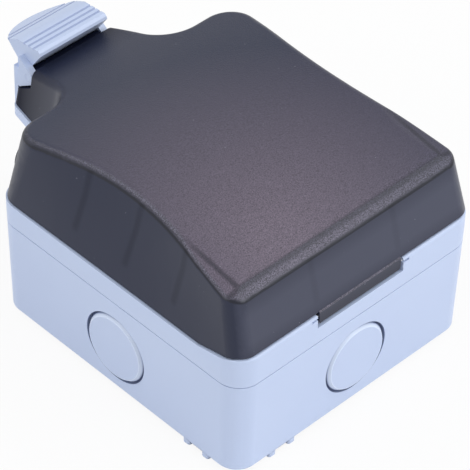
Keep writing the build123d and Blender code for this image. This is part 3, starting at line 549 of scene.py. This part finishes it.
@dataclass(frozen=True)
class SmokedFinish:
    """Smoked lid plastic: a grained top with a painted pool of light towards the middle, and smoother walls.

    A span named turn is a range of the surface's direction, as a part of 1 along one axis. A span named
    run is a range along Y, and one named rise is a range of height.
    """

    name: str = "smoked_plastic"
    wall: Colour = (28, 33, 54)
    # Painted light: the hinge wall is lighter than the long walls
    lit_end_wall: Colour = (60, 63, 80)
    # Painted shade: the dark line above the walls and on the steps
    shade: Colour = (16, 17, 28)
    # Painted highlight on the rim, outside and inside the painted pool of light
    rim_highlight: tuple[Colour, Colour] = ((54, 54, 68), (84, 80, 93))
    top: Colour = (30, 35, 56)
    # Painted pool of light: the top turns lighter and warmer towards this spot
    middle: Colour = (98, 89, 102)
    light_pool_spot: Triple = (20 * MM, 38 * MM, 66 * MM)
    light_pool_radius: float = 84 * MM
    light_pool_core: float = 0.1
    end_turn: Span = (0.6, 0.95)
    wall_stop: float = 0.29
    shade_stop: float = 0.40
    rim_turn: Span = (0.56, 0.80)
    top_turn: Span = (0.90, 0.96)
    upward_turn: Span = (0.55, 0.9)
    plain_run: Span = (-58 * MM, -46 * MM)
    step_tone: float = 0.35
    band_line: Span = (44.2 * MM, 1.3 * MM)
    facet_line: Span = (42.0 * MM, 1.2 * MM)
    facet_start_run: Span = (18 * MM, 30 * MM)
    facet_end_run: Span = (43 * MM, 45 * MM)
    # Colour that the painted shadow multiplies by
    shadow_tone: Shade = (0.26, 0.29, 0.42, 1.0)
    foot_rise: Span = (46 * MM, 53 * MM)
    crest_rise: Span = (61 * MM, 68 * MM)
    crest_share: float = 0.8
    hinge_turn: Span = (0.8, 0.95)
    # Painted shadow on the tongue under the latch's tab
    tongue_shadow: Span = (0.12, 1.0)
    tongue_run: Span = (-78 * MM, -60 * MM)
    ribs: RibPlaces = RibPlaces()
    # How far the ribs' painted shadow dims the colour and the sheen
    rib_shadow_tone: float = 0.80
    rib_turn: Span = (0.75, 0.9)
    end_rib: float = 0.45
    sheen: Span = (0.30, 0.44)
    sheen_turn: Span = (0.02, 0.10)
    sheen_tint: Shade = (0.86, 0.89, 1.0, 1.0)
    shoulder_sheen: float = 0.2
    shoulder_turn: Span = (-0.70, -0.20)
    speck: Colour = (128, 130, 142)
    speck_size: float = 0.7 * MM
    speck_range: Span = (0.88, 0.92)
    grain_size: float = 0.38 * MM
    grain_depth: float = 0.06 * MM
    grain_tone: Span = (0.08, 0.5)
    band_grain: float = 0.8
    band_run: Span = (38 * MM, 45 * MM)
    rim_grain: float = 0.9
    wall_relief: float = 0.12
    roughness: Span = (0.30, 0.40)

    def glow(self, sheet: LidSheet) -> Socket:
        """Share of the painted pool of light: 1 at the lid's middle, fading away from it.

        Args:
            sheet: The material's node tree.

        Returns:
            The share.
        """
        reach = sheet.node("ShaderNodeVectorMath", operation="DISTANCE")
        reach.inputs[1].default_value = self.light_pool_spot
        sheet.feed(sheet.place, reach.inputs[0])
        core = self.light_pool_core * self.light_pool_radius
        return sheet.spread(reach.outputs["Value"], 1, 0, core, self.light_pool_radius)

    def rib_lines(self, sheet: LidSheet) -> Socket:
        """Find where a rib stands behind the wall, for its painted shadow.

        Args:
            sheet: The material's node tree.

        Returns:
            1 on a rib's line, 0 elsewhere.
        """
        ribs = self.ribs
        long_walls = sheet.spread(sheet.work("ABSOLUTE", sheet.to_side), 0, 1, *self.rib_turn)
        hinge_wall = sheet.spread(sheet.to_hinge, 0, self.end_rib, *self.rib_turn)
        drafted = sheet.work("SUBTRACT", sheet.y, sheet.spread(sheet.z, 0, ribs.draft, ribs.low, ribs.high))
        lines = [sheet.product(sheet.line(drafted, place, ribs.shadow), long_walls) for place in ribs.along()]
        beside = sheet.line(sheet.work("ABSOLUTE", sheet.x), ribs.leaf_end, ribs.shadow)
        lines.append(sheet.product(beside, hinge_wall))
        height = sheet.spread(sheet.z, 0, 1, ribs.low, ribs.low + 2 * ribs.radius)
        return sheet.product(sheet.most(*lines), height)

    def form_tone(self, sheet: LidSheet, glow: Socket) -> Socket:
        """Colour by form, with painted light and shade: walls, a lighter hinge wall, the painted shade above
        them, the painted highlight on the rim and the top with its painted pool of light.

        Args:
            sheet: The material's node tree.
            glow: Share of the painted pool of light.

        Returns:
            The colour.
        """
        # Painted shade above the walls
        dark = ((self.shade_stop, self.shade), (1.0, self.shade))
        walls = [sheet.ramp(sheet.to_top, ((self.wall_stop, wall), *dark))
                 for wall in (self.wall, self.lit_end_wall)]
        # Faces turned to the hinge take the hinge wall's painted lighter tone
        sides = sheet.blend(sheet.spread(sheet.to_hinge, 0, 1, *self.end_turn), *walls)
        # Painted highlight on the rim's rounding, brighter in the painted pool of light
        rimmed = sheet.blend(sheet.spread(sheet.to_top, 0, 1, *self.rim_turn), sides,
                             sheet.blend(glow, *self.rim_highlight))
        plain = sheet.blend(sheet.spread(sheet.y, 0, 1, *self.plain_run), self.wall, rimmed)
        # The top, lighter in the painted pool of light
        return sheet.blend(sheet.spread(sheet.to_top, 0, 1, *self.top_turn), plain,
                           sheet.blend(glow, self.top, self.middle))

    def step_lines(self, sheet: LidSheet) -> Socket:
        """Find the steps where the band and the facets leave the top, for a line of painted shade.

        Args:
            sheet: The material's node tree.

        Returns:
            1 on a step's line, 0 elsewhere.
        """
        facets = sheet.product(sheet.line(sheet.work("ABSOLUTE", sheet.x), *self.facet_line),
                               sheet.spread(sheet.y, 0, 1, *self.facet_start_run),
                               sheet.spread(sheet.y, 1, 0, *self.facet_end_run))
        return sheet.most(sheet.line(sheet.y, *self.band_line), facets)

    def hinge_shadow(self, sheet: LidSheet) -> Socket:
        """Share of the shadow at the foot of the hinge wall and under its crest.

        Args:
            sheet: The material's node tree.

        Returns:
            The share.
        """
        ends = sheet.most(sheet.spread(sheet.z, 1, 0, *self.foot_rise),
                          sheet.spread(sheet.z, 0, self.crest_share, *self.crest_rise))
        return sheet.product(ends, sheet.spread(sheet.to_hinge, 0, 1, *self.hinge_turn))

    def grain_reach(self, sheet: LidSheet, glow: Socket, upward: Socket) -> Socket:
        """How far the grain sways the colour.

        Args:
            sheet: The material's node tree.
            glow: Share of the painted pool of light.
            upward: Share of the surface that faces up.

        Returns:
            The reach, from 0 to 1.
        """
        coarse = sheet.most(sheet.spread(glow, *self.grain_tone, 0, 1),
                            sheet.spread(sheet.y, 0, self.band_grain, *self.band_run))
        rounding = sheet.product(sheet.spread(sheet.to_top, 0, self.rim_grain, *self.rim_turn),
                                 sheet.spread(sheet.to_top, 1, 0, *self.top_turn))
        return sheet.most(sheet.product(coarse, upward), rounding)

    def material(self) -> bpy.types.Material:
        """Build the smoked plastic's node tree.

        Returns:
            The finished material.
        """
        sheet = LidSheet(self.name)
        glow = self.glow(sheet)
        ribs = self.rib_lines(sheet)
        upward = sheet.spread(sheet.to_top, 0, 1, *self.upward_turn)
        # Painted shadow of the latch's tab on the tongue: clear falls from 1 towards the tab
        clear = sheet.spread(sheet.y, *self.tongue_shadow, *self.tongue_run)

        # Colour of the form, with painted shade on the steps, painted shadow at the hinge wall and under the
        # latch's tab, and the ribs' painted shadow, then pale specks
        # Painted shade on the steps
        step = sheet.product(self.step_lines(sheet), upward, 1 - self.step_tone)
        colour = sheet.blend(step, self.form_tone(sheet, glow), self.shade)
        # Painted shadow at the hinge wall's foot and crest and under the latch's tab
        shadowed = sheet.most(self.hinge_shadow(sheet), sheet.work("SUBTRACT", 1.0, clear))
        colour = sheet.dim(shadowed, colour, self.shadow_tone)
        # Painted shadow of the ribs behind the wall
        colour = sheet.dim(ribs, colour, (self.rib_shadow_tone, self.rib_shadow_tone, self.rib_shadow_tone, 1))
        specks = sheet.spread(sheet.noise(self.speck_size, detail=0.0), 0, 1, *self.speck_range)
        colour = sheet.blend(specks, colour, self.speck)

        # Grain, which sways the colour evenly to both sides
        grain = sheet.spread(sheet.noise(self.grain_size), 0, 1)
        sway = sheet.product(sheet.work("SUBTRACT", grain, 0.5), self.grain_reach(sheet, glow, upward), 2.0)
        grained = sheet.node("ShaderNodeHueSaturation")
        sheet.feed(sheet.work("ADD", sway, 1.0), grained.inputs["Value"])
        sheet.feed(colour, grained.inputs["Color"])
        sheet.give("Base Color", grained.outputs["Color"])

        # Sheen and relief
        sheen = sheet.product(sheet.spread(sheet.to_top, *self.sheen, *self.sheen_turn),
                              sheet.spread(ribs, 1, self.rib_shadow_tone, 0, 1),
                              sheet.spread(sheet.to_hinge, self.shoulder_sheen, 1, *self.shoulder_turn),
                              clear)
        sheet.give("Specular IOR Level", sheen)
        sheet.shader.inputs["Specular Tint"].default_value = self.sheen_tint
        relief = sheet.product(grain, sheet.spread(upward, self.wall_relief, 1.0, 0, 1))
        sheet.give("Normal", sheet.bump(relief, self.grain_depth))
        sheet.give("Roughness", sheet.spread(upward, *self.roughness, 0, 1))
        return sheet.material


SHELL = MouldedFinish("pale_moulded_plastic", (190, 204, 232), (187, 201, 230))
BOX = BoxFinish("pale_box_plastic", SHELL.colour, SHELL.drift_colour)
LATCH = LatchFinish("pale_latch_plastic", SHELL.colour, SHELL.drift_colour)
OUTLET = MouldedFinish("outlet_plastic", (226, 228, 231), (222, 224, 228), roughness=(0.24, 0.32))
COVER = MouldedFinish("rear_cover_plastic", (92, 94, 99), (84, 86, 91), roughness=(0.45, 0.58))
SHUTTER = MouldedFinish("shutter_plastic", (206, 106, 78), (196, 98, 72), roughness=(0.4, 0.5))
STEEL = MetalFinish("bright_steel", (206, 207, 210), (168, 168, 172))
BRASS = MetalFinish("contact_brass", (222, 186, 112), (176, 140, 84))
RUBBER = RubberFinish()
SMOKED = SmokedFinish()


@dataclass
class Moulding:
    """A solid of the frame shown with its edges rounded as a mould rounds them."""

    node: str
    body: Body
    slot: Slot
    finish: bpy.types.Material
    edge: float = 0.25 * MM
    segments: int = 2
    sharp_angle: float = math.radians(28)
    flat_angle: float = math.radians(0.4)
    weld: float = 0.002 * MM

    def build(self) -> bpy.types.Object:
        """Copy the solid, join its loose triangles, round its sharp edges and dress it.

        Returns:
            The finished piece, which stands for the solid.
        """
        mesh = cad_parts[self.node].data.copy()
        mesh.name = f"{self.node}_moulded"
        work = bmesh.new()
        work.from_mesh(mesh)
        bmesh.ops.remove_doubles(work, verts=work.verts, dist=self.weld)
        bmesh.ops.dissolve_limit(work, angle_limit=self.flat_angle, verts=work.verts, edges=work.edges)
        self.shape(work)
        for face in work.faces:
            face.smooth = True
        work.to_mesh(mesh)
        work.free()
        piece = bpy.data.objects.new(f"{self.node}_moulded", mesh)
        bpy.context.scene.collection.objects.link(piece)
        bevel = piece.modifiers.new("edge_round", "BEVEL")
        bevel.width = self.edge
        bevel.segments = self.segments
        bevel.limit_method = "ANGLE"
        bevel.angle_limit = self.sharp_angle
        bevel.harden_normals = False
        weighted = piece.modifiers.new("even_shading", "WEIGHTED_NORMAL")
        weighted.keep_sharp = True
        mesh.materials.clear()
        mesh.materials.append(self.finish)
        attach(piece, self.body.value)
        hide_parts(self.node)
        return piece

    def shape(self, work: bmesh.types.BMesh) -> None:
        """Leave the solid's form as it is.

        Args:
            work: The solid's mesh.
        """


@dataclass
class BoxMoulding(Moulding):
    """The back box, whose knockout discs stand a little proud of its drafted walls."""

    disc_radius: float = 11.3 * MM
    disc_rise: float = 0.55 * MM
    disc_slack: float = 0.05 * MM

    def shape(self, work: bmesh.types.BMesh) -> None:
        """Move each disc's face outwards.

        Args:
            work: The box's mesh, which is changed in place.
        """
        for pair in KNOCKOUTS:
            for vertex in work.verts:
                spot = vertex.co
                from_middle = math.hypot(spot[1 - pair.axis], spot[2] - pair.height)
                on_face = abs(abs(spot[pair.axis]) - pair.wall) < self.disc_slack
                if on_face and from_middle < self.disc_radius:
                    spot[pair.axis] += math.copysign(self.disc_rise, spot[pair.axis])


class NodeTree:
    """Geometry Nodes tree with named inputs, which turns into a plain mesh when it has run."""

    def __init__(self, name: str, **inputs: str) -> None:
        """Start a tree.

        Args:
            name: The tree's name.
            inputs: Each named input and its kind of socket, such as "Float".
        """
        self.tree = bpy.data.node_groups.new(name, "GeometryNodeTree")
        face = self.tree.interface
        face.new_socket("Geometry", in_out="INPUT", socket_type="NodeSocketGeometry")
        for label, kind in {**inputs, "finish": "Material"}.items():
            face.new_socket(label, in_out="INPUT", socket_type=f"NodeSocket{kind}")
        face.new_socket("Geometry", in_out="OUTPUT", socket_type="NodeSocketGeometry")
        self.given = self.node("NodeGroupInput").outputs
        self.result = self.node("NodeGroupOutput").inputs["Geometry"]

    def node(self, kind: str, links: dict[str | int, object] | None = None, **settings: object
             ) -> bpy.types.Node:
        """Add a node.

        Args:
            kind: The node's type.
            links: What each input takes, by its name or number: a socket or a plain value.
            settings: The node's own properties.

        Returns:
            The node.
        """
        made = self.tree.nodes.new(kind)
        for key, value in settings.items():
            setattr(made, key, value)
        for label, value in (links or {}).items():
            if isinstance(value, Socket):
                self.tree.links.new(value, made.inputs[label])
            else:
                made.inputs[label].default_value = value
        return made

    def close(self, geometry: Socket) -> None:
        """End the tree: make the instances real and give them their finish.

        Args:
            geometry: What the tree has made.
        """
        real = self.node("GeometryNodeRealizeInstances", {"Geometry": geometry})
        dressed = self.node("GeometryNodeSetMaterial",
                            {"Geometry": real.outputs["Geometry"], "Material": self.given["finish"]})
        self.tree.links.new(dressed.outputs["Geometry"], self.result)

    def run(self, name: str, mesh: bpy.types.Mesh, **values: object) -> bpy.types.Object:
        """Run the tree on a mesh and keep the result as a plain mesh.

        Args:
            name: Name of the new piece.
            mesh: What the tree takes as its geometry.
            values: A value for each named input.

        Returns:
            The new piece, with no modifier left on it.
        """
        piece = bpy.data.objects.new(name, mesh)
        bpy.context.scene.collection.objects.link(piece)
        modifier = piece.modifiers.new(self.tree.name, "NODES")
        modifier.node_group = self.tree
        for item in self.tree.interface.items_tree:
            if item.in_out == "INPUT" and item.name in values:
                modifier[item.identifier] = values[item.name]
        evaluated = piece.evaluated_get(bpy.context.evaluated_depsgraph_get())
        made = bpy.data.meshes.new_from_object(evaluated)
        made.name = name
        piece.modifiers.remove(modifier)
        piece.data = made
        return piece


@dataclass
class LidRibs:
    """Half-round ribs that follow the inside of the lid's walls."""

    finish: bpy.types.Material
    places: RibPlaces = RibPlaces()
    points: int = 14
    sides: int = 10
    ray_length: float = 1.0

    def tree(self) -> NodeTree:
        """Build the tree: upright lines, thrown on to the wall, then given a round section.

        Returns:
            The tree.
        """
        ribs = NodeTree("wall_ribs", start="Vector", pitch="Vector", count="Int", rise="Vector",
                        heading="Vector", radius="Float")
        given = ribs.given
        line = ribs.node("GeometryNodeCurvePrimitiveLine", {"End": given["rise"]})
        fine = ribs.node("GeometryNodeResampleCurve", {"Curve": line.outputs["Curve"], "Count": self.points})
        feet = ribs.node("GeometryNodeMeshLine", {"Count": given["count"], "Offset": given["pitch"],
                                                  "Start Location": given["start"]}, mode="OFFSET")
        stood = ribs.node("GeometryNodeInstanceOnPoints", {"Points": feet.outputs["Mesh"],
                                                           "Instance": fine.outputs["Curve"]})
        real = ribs.node("GeometryNodeRealizeInstances", {"Geometry": stood.outputs["Instances"]})
        wall = ribs.node("GeometryNodeRaycast", {"Target Geometry": given["Geometry"],
                                                 "Ray Direction": given["heading"],
                                                 "Ray Length": self.ray_length})
        thrown = ribs.node("GeometryNodeSetPosition", {"Geometry": real.outputs["Geometry"],
                                                       "Position": wall.outputs["Hit Position"]})
        ring = ribs.node("GeometryNodeCurvePrimitiveCircle", {"Resolution": self.sides,
                                                              "Radius": given["radius"]}, mode="RADIUS")
        swept = ribs.node("GeometryNodeCurveToMesh", {"Curve": thrown.outputs["Geometry"],
                                                      "Profile Curve": ring.outputs["Curve"],
                                                      "Fill Caps": True})
        ribs.close(swept.outputs["Mesh"])
        return ribs

    def build(self) -> list[bpy.types.Object]:
        """Make the ribs of the two long walls and the hinge wall.

        Returns:
            The three pieces.
        """
        tree = self.tree()
        spot = self.places
        rise = (0.0, 0.0, spot.high - spot.low)
        long_start, long_pitch = (0.0, spot.first, spot.low), (0.0, spot.pitch, 0.0)
        hinge_start, hinge_pitch = (-spot.leaf_end, 0.0, spot.low), (2 * spot.leaf_end, 0.0, 0.0)
        runs = {
            "lid_ribs_right": (long_start, long_pitch, spot.count, (1.0, 0.0, 0.0)),
            "lid_ribs_left": (long_start, long_pitch, spot.count, (-1.0, 0.0, 0.0)),
            "lid_ribs_hinge": (hinge_start, hinge_pitch, 2, (0.0, 1.0, 0.0)),
        }
        pieces = []
        for name, (start, pitch, count, heading) in runs.items():
            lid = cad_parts["lid"].data.copy()
            piece = tree.run(name, lid, start=start, pitch=pitch, count=count, rise=rise, heading=heading,
                             radius=spot.radius, finish=self.finish)
            bpy.data.meshes.remove(lid)
            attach(piece, Body.LID.value)
            pieces.append(piece)
        return pieces


@dataclass
class SealRidges:
    """Round ridges moulded on the outer face of a cable seal, for cutting it to a cable's size."""

    node: str
    finish: bpy.types.Material
    count: int = 4
    outer: float = 5.9 * MM
    ridge: float = 0.32 * MM
    step: float = 0.24
    rise: float = 7.4 * MM
    ring_points: int = 48
    ridge_points: int = 8

    def tree(self) -> NodeTree:
        """Build the tree: one ring, repeated smaller and smaller about one middle.

        Returns:
            The tree.
        """
        rings = NodeTree("seal_ridges", middle="Vector", outer="Float", ridge="Float", count="Int",
                         step="Float")
        given = rings.given
        line = rings.node("GeometryNodeCurvePrimitiveCircle", {"Resolution": self.ring_points,
                                                               "Radius": given["outer"]}, mode="RADIUS")
        bead = rings.node("GeometryNodeCurvePrimitiveCircle", {"Resolution": self.ridge_points,
                                                               "Radius": given["ridge"]}, mode="RADIUS")
        ring = rings.node("GeometryNodeCurveToMesh", {"Curve": line.outputs["Curve"],
                                                      "Profile Curve": bead.outputs["Curve"]})
        spots = rings.node("GeometryNodePoints", {"Count": given["count"]})
        index = rings.node("GeometryNodeInputIndex")
        less = rings.node("ShaderNodeMath", {0: index.outputs["Index"], 1: given["step"]},
                          operation="MULTIPLY")
        scale = rings.node("ShaderNodeMath", {0: 1.0, 1: less.outputs["Value"]}, operation="SUBTRACT")
        nested = rings.node("GeometryNodeInstanceOnPoints", {"Points": spots.outputs["Points"],
                                                             "Instance": ring.outputs["Mesh"],
                                                             "Scale": scale.outputs["Value"]})
        placed = rings.node("GeometryNodeTransform", {"Geometry": nested.outputs["Instances"],
                                                      "Translation": given["middle"],
                                                      "Rotation": (math.radians(90), 0.0, 0.0)})
        rings.close(placed.outputs["Geometry"])
        return rings

    def build(self) -> bpy.types.Object:
        """Make the ridges on the seal's outer face.

        Returns:
            The finished piece.
        """
        low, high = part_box(self.node)
        middle = ((low[0] + high[0]) / 2, low[1], low[2] + self.rise)
        piece = self.tree().run(f"{self.node}_ridges", bpy.data.meshes.new("start"), middle=middle,
                                outer=self.outer, ridge=self.ridge, count=self.count, step=self.step,
                                finish=self.finish)
        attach(piece, Body.BASE.value)
        return piece


@dataclass(frozen=True)
class Lamp:
    """A soft square lamp that looks at the object, with its side in metres and its power in watts."""

    name: str
    spot: Triple
    size: float
    power: float


@dataclass
class Studio:
    """Camera at the photograph's angle, soft light and a pale floor."""

    target: Vector = Vector((0.0, 0.0, 0.037))
    azimuth: float = math.radians(134.831)
    elevation: float = math.radians(42.526)
    roll: float = math.radians(1.598)
    distance: float = 0.95079
    lens: float = 239.3
    shift: Span = (0.0008, -0.0191)
    clip_start: float = 0.01
    world_light: float = 0.50
    world_shown: float = 1.0
    floor_size: float = 6.0
    floor_glow: float = 0.9
    floor_colour: Shade = (0.85, 0.85, 0.86, 1)
    lamps: tuple[Lamp, ...] = (
        Lamp("hinge_side_lamp", (-0.35, 1.25, 0.75), 0.9, 9),
        Lamp("long_side_lamp", (1.3, -0.1, 0.6), 0.9, 4),
        Lamp("rim_lamp", (0.5, -0.8, 1.2), 0.35, 5),
        Lamp("crest_lamp", (-0.8, 0.5, 1.2), 0.35, 5),
    )

    def back(self) -> Vector:
        """Direction from the object to the camera."""
        flat = math.cos(self.elevation)
        side, ahead = math.sin(self.azimuth), math.cos(self.azimuth)
        return Vector((side * flat, -ahead * flat, math.sin(self.elevation)))

    def add_camera(self) -> None:
        """Place the camera and make it the scene's own."""
        back = self.back()
        level = (-back).cross(Vector((0, 0, 1))).normalized()
        upright = level.cross(-back)
        right = level * math.cos(self.roll) + upright * math.sin(self.roll)
        up = back.cross(right)
        camera = bpy.data.objects.new("camera", bpy.data.cameras.new("camera"))
        bpy.context.scene.collection.objects.link(camera)
        spot = Matrix((right, up, back)).transposed().to_4x4()
        spot.translation = self.target + back * self.distance
        camera.matrix_world = spot
        camera.data.lens = self.lens
        camera.data.shift_x, camera.data.shift_y = self.shift
        camera.data.clip_start = self.clip_start
        bpy.context.scene.camera = camera

    def add_lamp(self, lamp: Lamp) -> None:
        """Hang a lamp.

        Args:
            lamp: What to hang, and where.
        """
        data = bpy.data.lights.new(lamp.name, "AREA")
        data.size = lamp.size
        data.energy = lamp.power
        hung = bpy.data.objects.new(lamp.name, data)
        bpy.context.scene.collection.objects.link(hung)
        spot = Vector(lamp.spot)
        hung.matrix_world = (spot - self.target).to_track_quat("Z", "Y").to_matrix().to_4x4()
        hung.location = spot

    def plain_ray(self, tree: bpy.types.NodeTree) -> Socket:
        """Tell the rays that show the background: camera, glossy and transmission rays.

        Args:
            tree: Node tree of the world or of a material.

        Returns:
            1 for these rays, 0 for the others.
        """
        path = tree.nodes.new("ShaderNodeLightPath").outputs
        shown = path["Is Camera Ray"]
        for label in ("Is Glossy Ray", "Is Transmission Ray"):
            either = tree.nodes.new("ShaderNodeMath")
            either.operation = "MAXIMUM"
            tree.links.new(shown, either.inputs[0])
            tree.links.new(path[label], either.inputs[1])
            shown = either.outputs["Value"]
        return shown

    def add_world(self) -> None:
        """White surroundings that light the object softly."""
        world = bpy.data.worlds.new("studio_white")
        world.use_nodes = True
        bpy.context.scene.world = world
        tree = world.node_tree
        backdrop = tree.nodes["Background"]
        backdrop.inputs["Color"].default_value = (1, 1, 1, 1)
        strength = tree.nodes.new("ShaderNodeMapRange")
        strength.inputs["To Min"].default_value = self.world_light
        strength.inputs["To Max"].default_value = self.world_shown
        tree.links.new(self.plain_ray(tree), strength.inputs["Value"])
        tree.links.new(strength.outputs["Result"], backdrop.inputs["Strength"])

    def add_floor(self) -> None:
        """Pale floor that keeps a faint shadow."""
        mesh = bpy.data.meshes.new("floor")
        half = self.floor_size / 2
        corners = [(-half, -half, 0), (half, -half, 0), (half, half, 0), (-half, half, 0)]
        mesh.from_pydata(corners, [], [(0, 1, 2, 3)])
        floor = bpy.data.objects.new("floor", mesh)
        bpy.context.scene.collection.objects.link(floor)
        material = bpy.data.materials.new("pale_floor")
        material.use_nodes = True
        tree = material.node_tree
        tree.nodes.clear()
        output = tree.nodes.new("ShaderNodeOutputMaterial")
        paint = tree.nodes.new("ShaderNodeBsdfDiffuse")
        paint.inputs["Color"].default_value = self.floor_colour
        glow = tree.nodes.new("ShaderNodeEmission")
        glow.inputs["Strength"].default_value = 1.0
        mixed = tree.nodes.new("ShaderNodeMixShader")
        share = tree.nodes.new("ShaderNodeMath")
        share.operation = "MULTIPLY"
        share.inputs[1].default_value = self.floor_glow
        tree.links.new(self.plain_ray(tree), share.inputs[0])
        tree.links.new(share.outputs["Value"], mixed.inputs["Fac"])
        tree.links.new(paint.outputs["BSDF"], mixed.inputs[1])
        tree.links.new(glow.outputs["Emission"], mixed.inputs[2])
        tree.links.new(mixed.outputs["Shader"], output.inputs["Surface"])
        mesh.materials.append(material)

    def build(self) -> None:
        """Set up the camera, world, floor and lamps."""
        self.add_camera()
        self.add_world()
        self.add_floor()
        for lamp in self.lamps:
            self.add_lamp(lamp)
        bpy.context.scene.view_settings.view_transform = "Standard"


def dress(material: bpy.types.Material, *nodes: str) -> None:
    """Give a finish to solids that are shown as they are.

    Args:
        material: The finish.
        nodes: Names of the solids.
    """
    for name in nodes:
        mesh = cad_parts[name].data
        mesh.materials.clear()
        mesh.materials.append(material)


def main() -> None:
    """Build every piece and the studio."""
    logging.basicConfig(level=logging.INFO)
    shell = SHELL.material()
    smoked = SMOKED.material()
    rubber = RUBBER.material()
    steel = STEEL.material()
    brass = BRASS.material()
    outlet = OUTLET.material()
    dress(rubber, "box_gasket", "lid_seal", "cable_seal_left", "cable_seal_right")
    dress(steel, "hinge_pin", "outlet_screws", "shutter_spring", "terminal_screws", "earth_terminal_screw")
    dress(shell, "latch_pin")
    dress(brass, "neutral_contact", "earth_contact", "live_contact", "live_terminal", "switch_blade",
          "earth_terminal")
    mouldings = [
        BoxMoulding("back_box", Body.BASE, Slot.SHELL, BOX.material(), edge=0.3 * MM),
        Moulding("front_frame", Body.BASE, Slot.SHELL, shell, edge=0.3 * MM),
        Moulding("latch", Body.LATCH, Slot.SHELL, LATCH.material(), edge=0.2 * MM),
        Moulding("lid", Body.LID, Slot.SMOKED, smoked, edge=0.2 * MM),
        Moulding("frame_screws", Body.BASE, Slot.STEEL, steel, edge=0.12 * MM),
        Moulding("rear_cover", Body.BASE, Slot.COVER, COVER.material(), edge=0.3 * MM),
        Moulding("shutter", Body.SHUTTER, Slot.SHUTTER, SHUTTER.material(), edge=0.15 * MM),
        Moulding("outlet_face", Body.BASE, Slot.OUTLET, outlet, edge=0.2 * MM),
        Moulding("rocker", Body.ROCKER, Slot.OUTLET, outlet, edge=0.3 * MM),
    ]
    for moulding in mouldings:
        LOG.info("built %s", moulding.build().name)
    for rib in LidRibs(smoked).build():
        LOG.info("built %s", rib.name)
    for seal in ("cable_seal_left", "cable_seal_right"):
        LOG.info("built %s", SealRidges(seal, rubber).build().name)
    Studio().build()


if __name__ == "__main__":
    main()
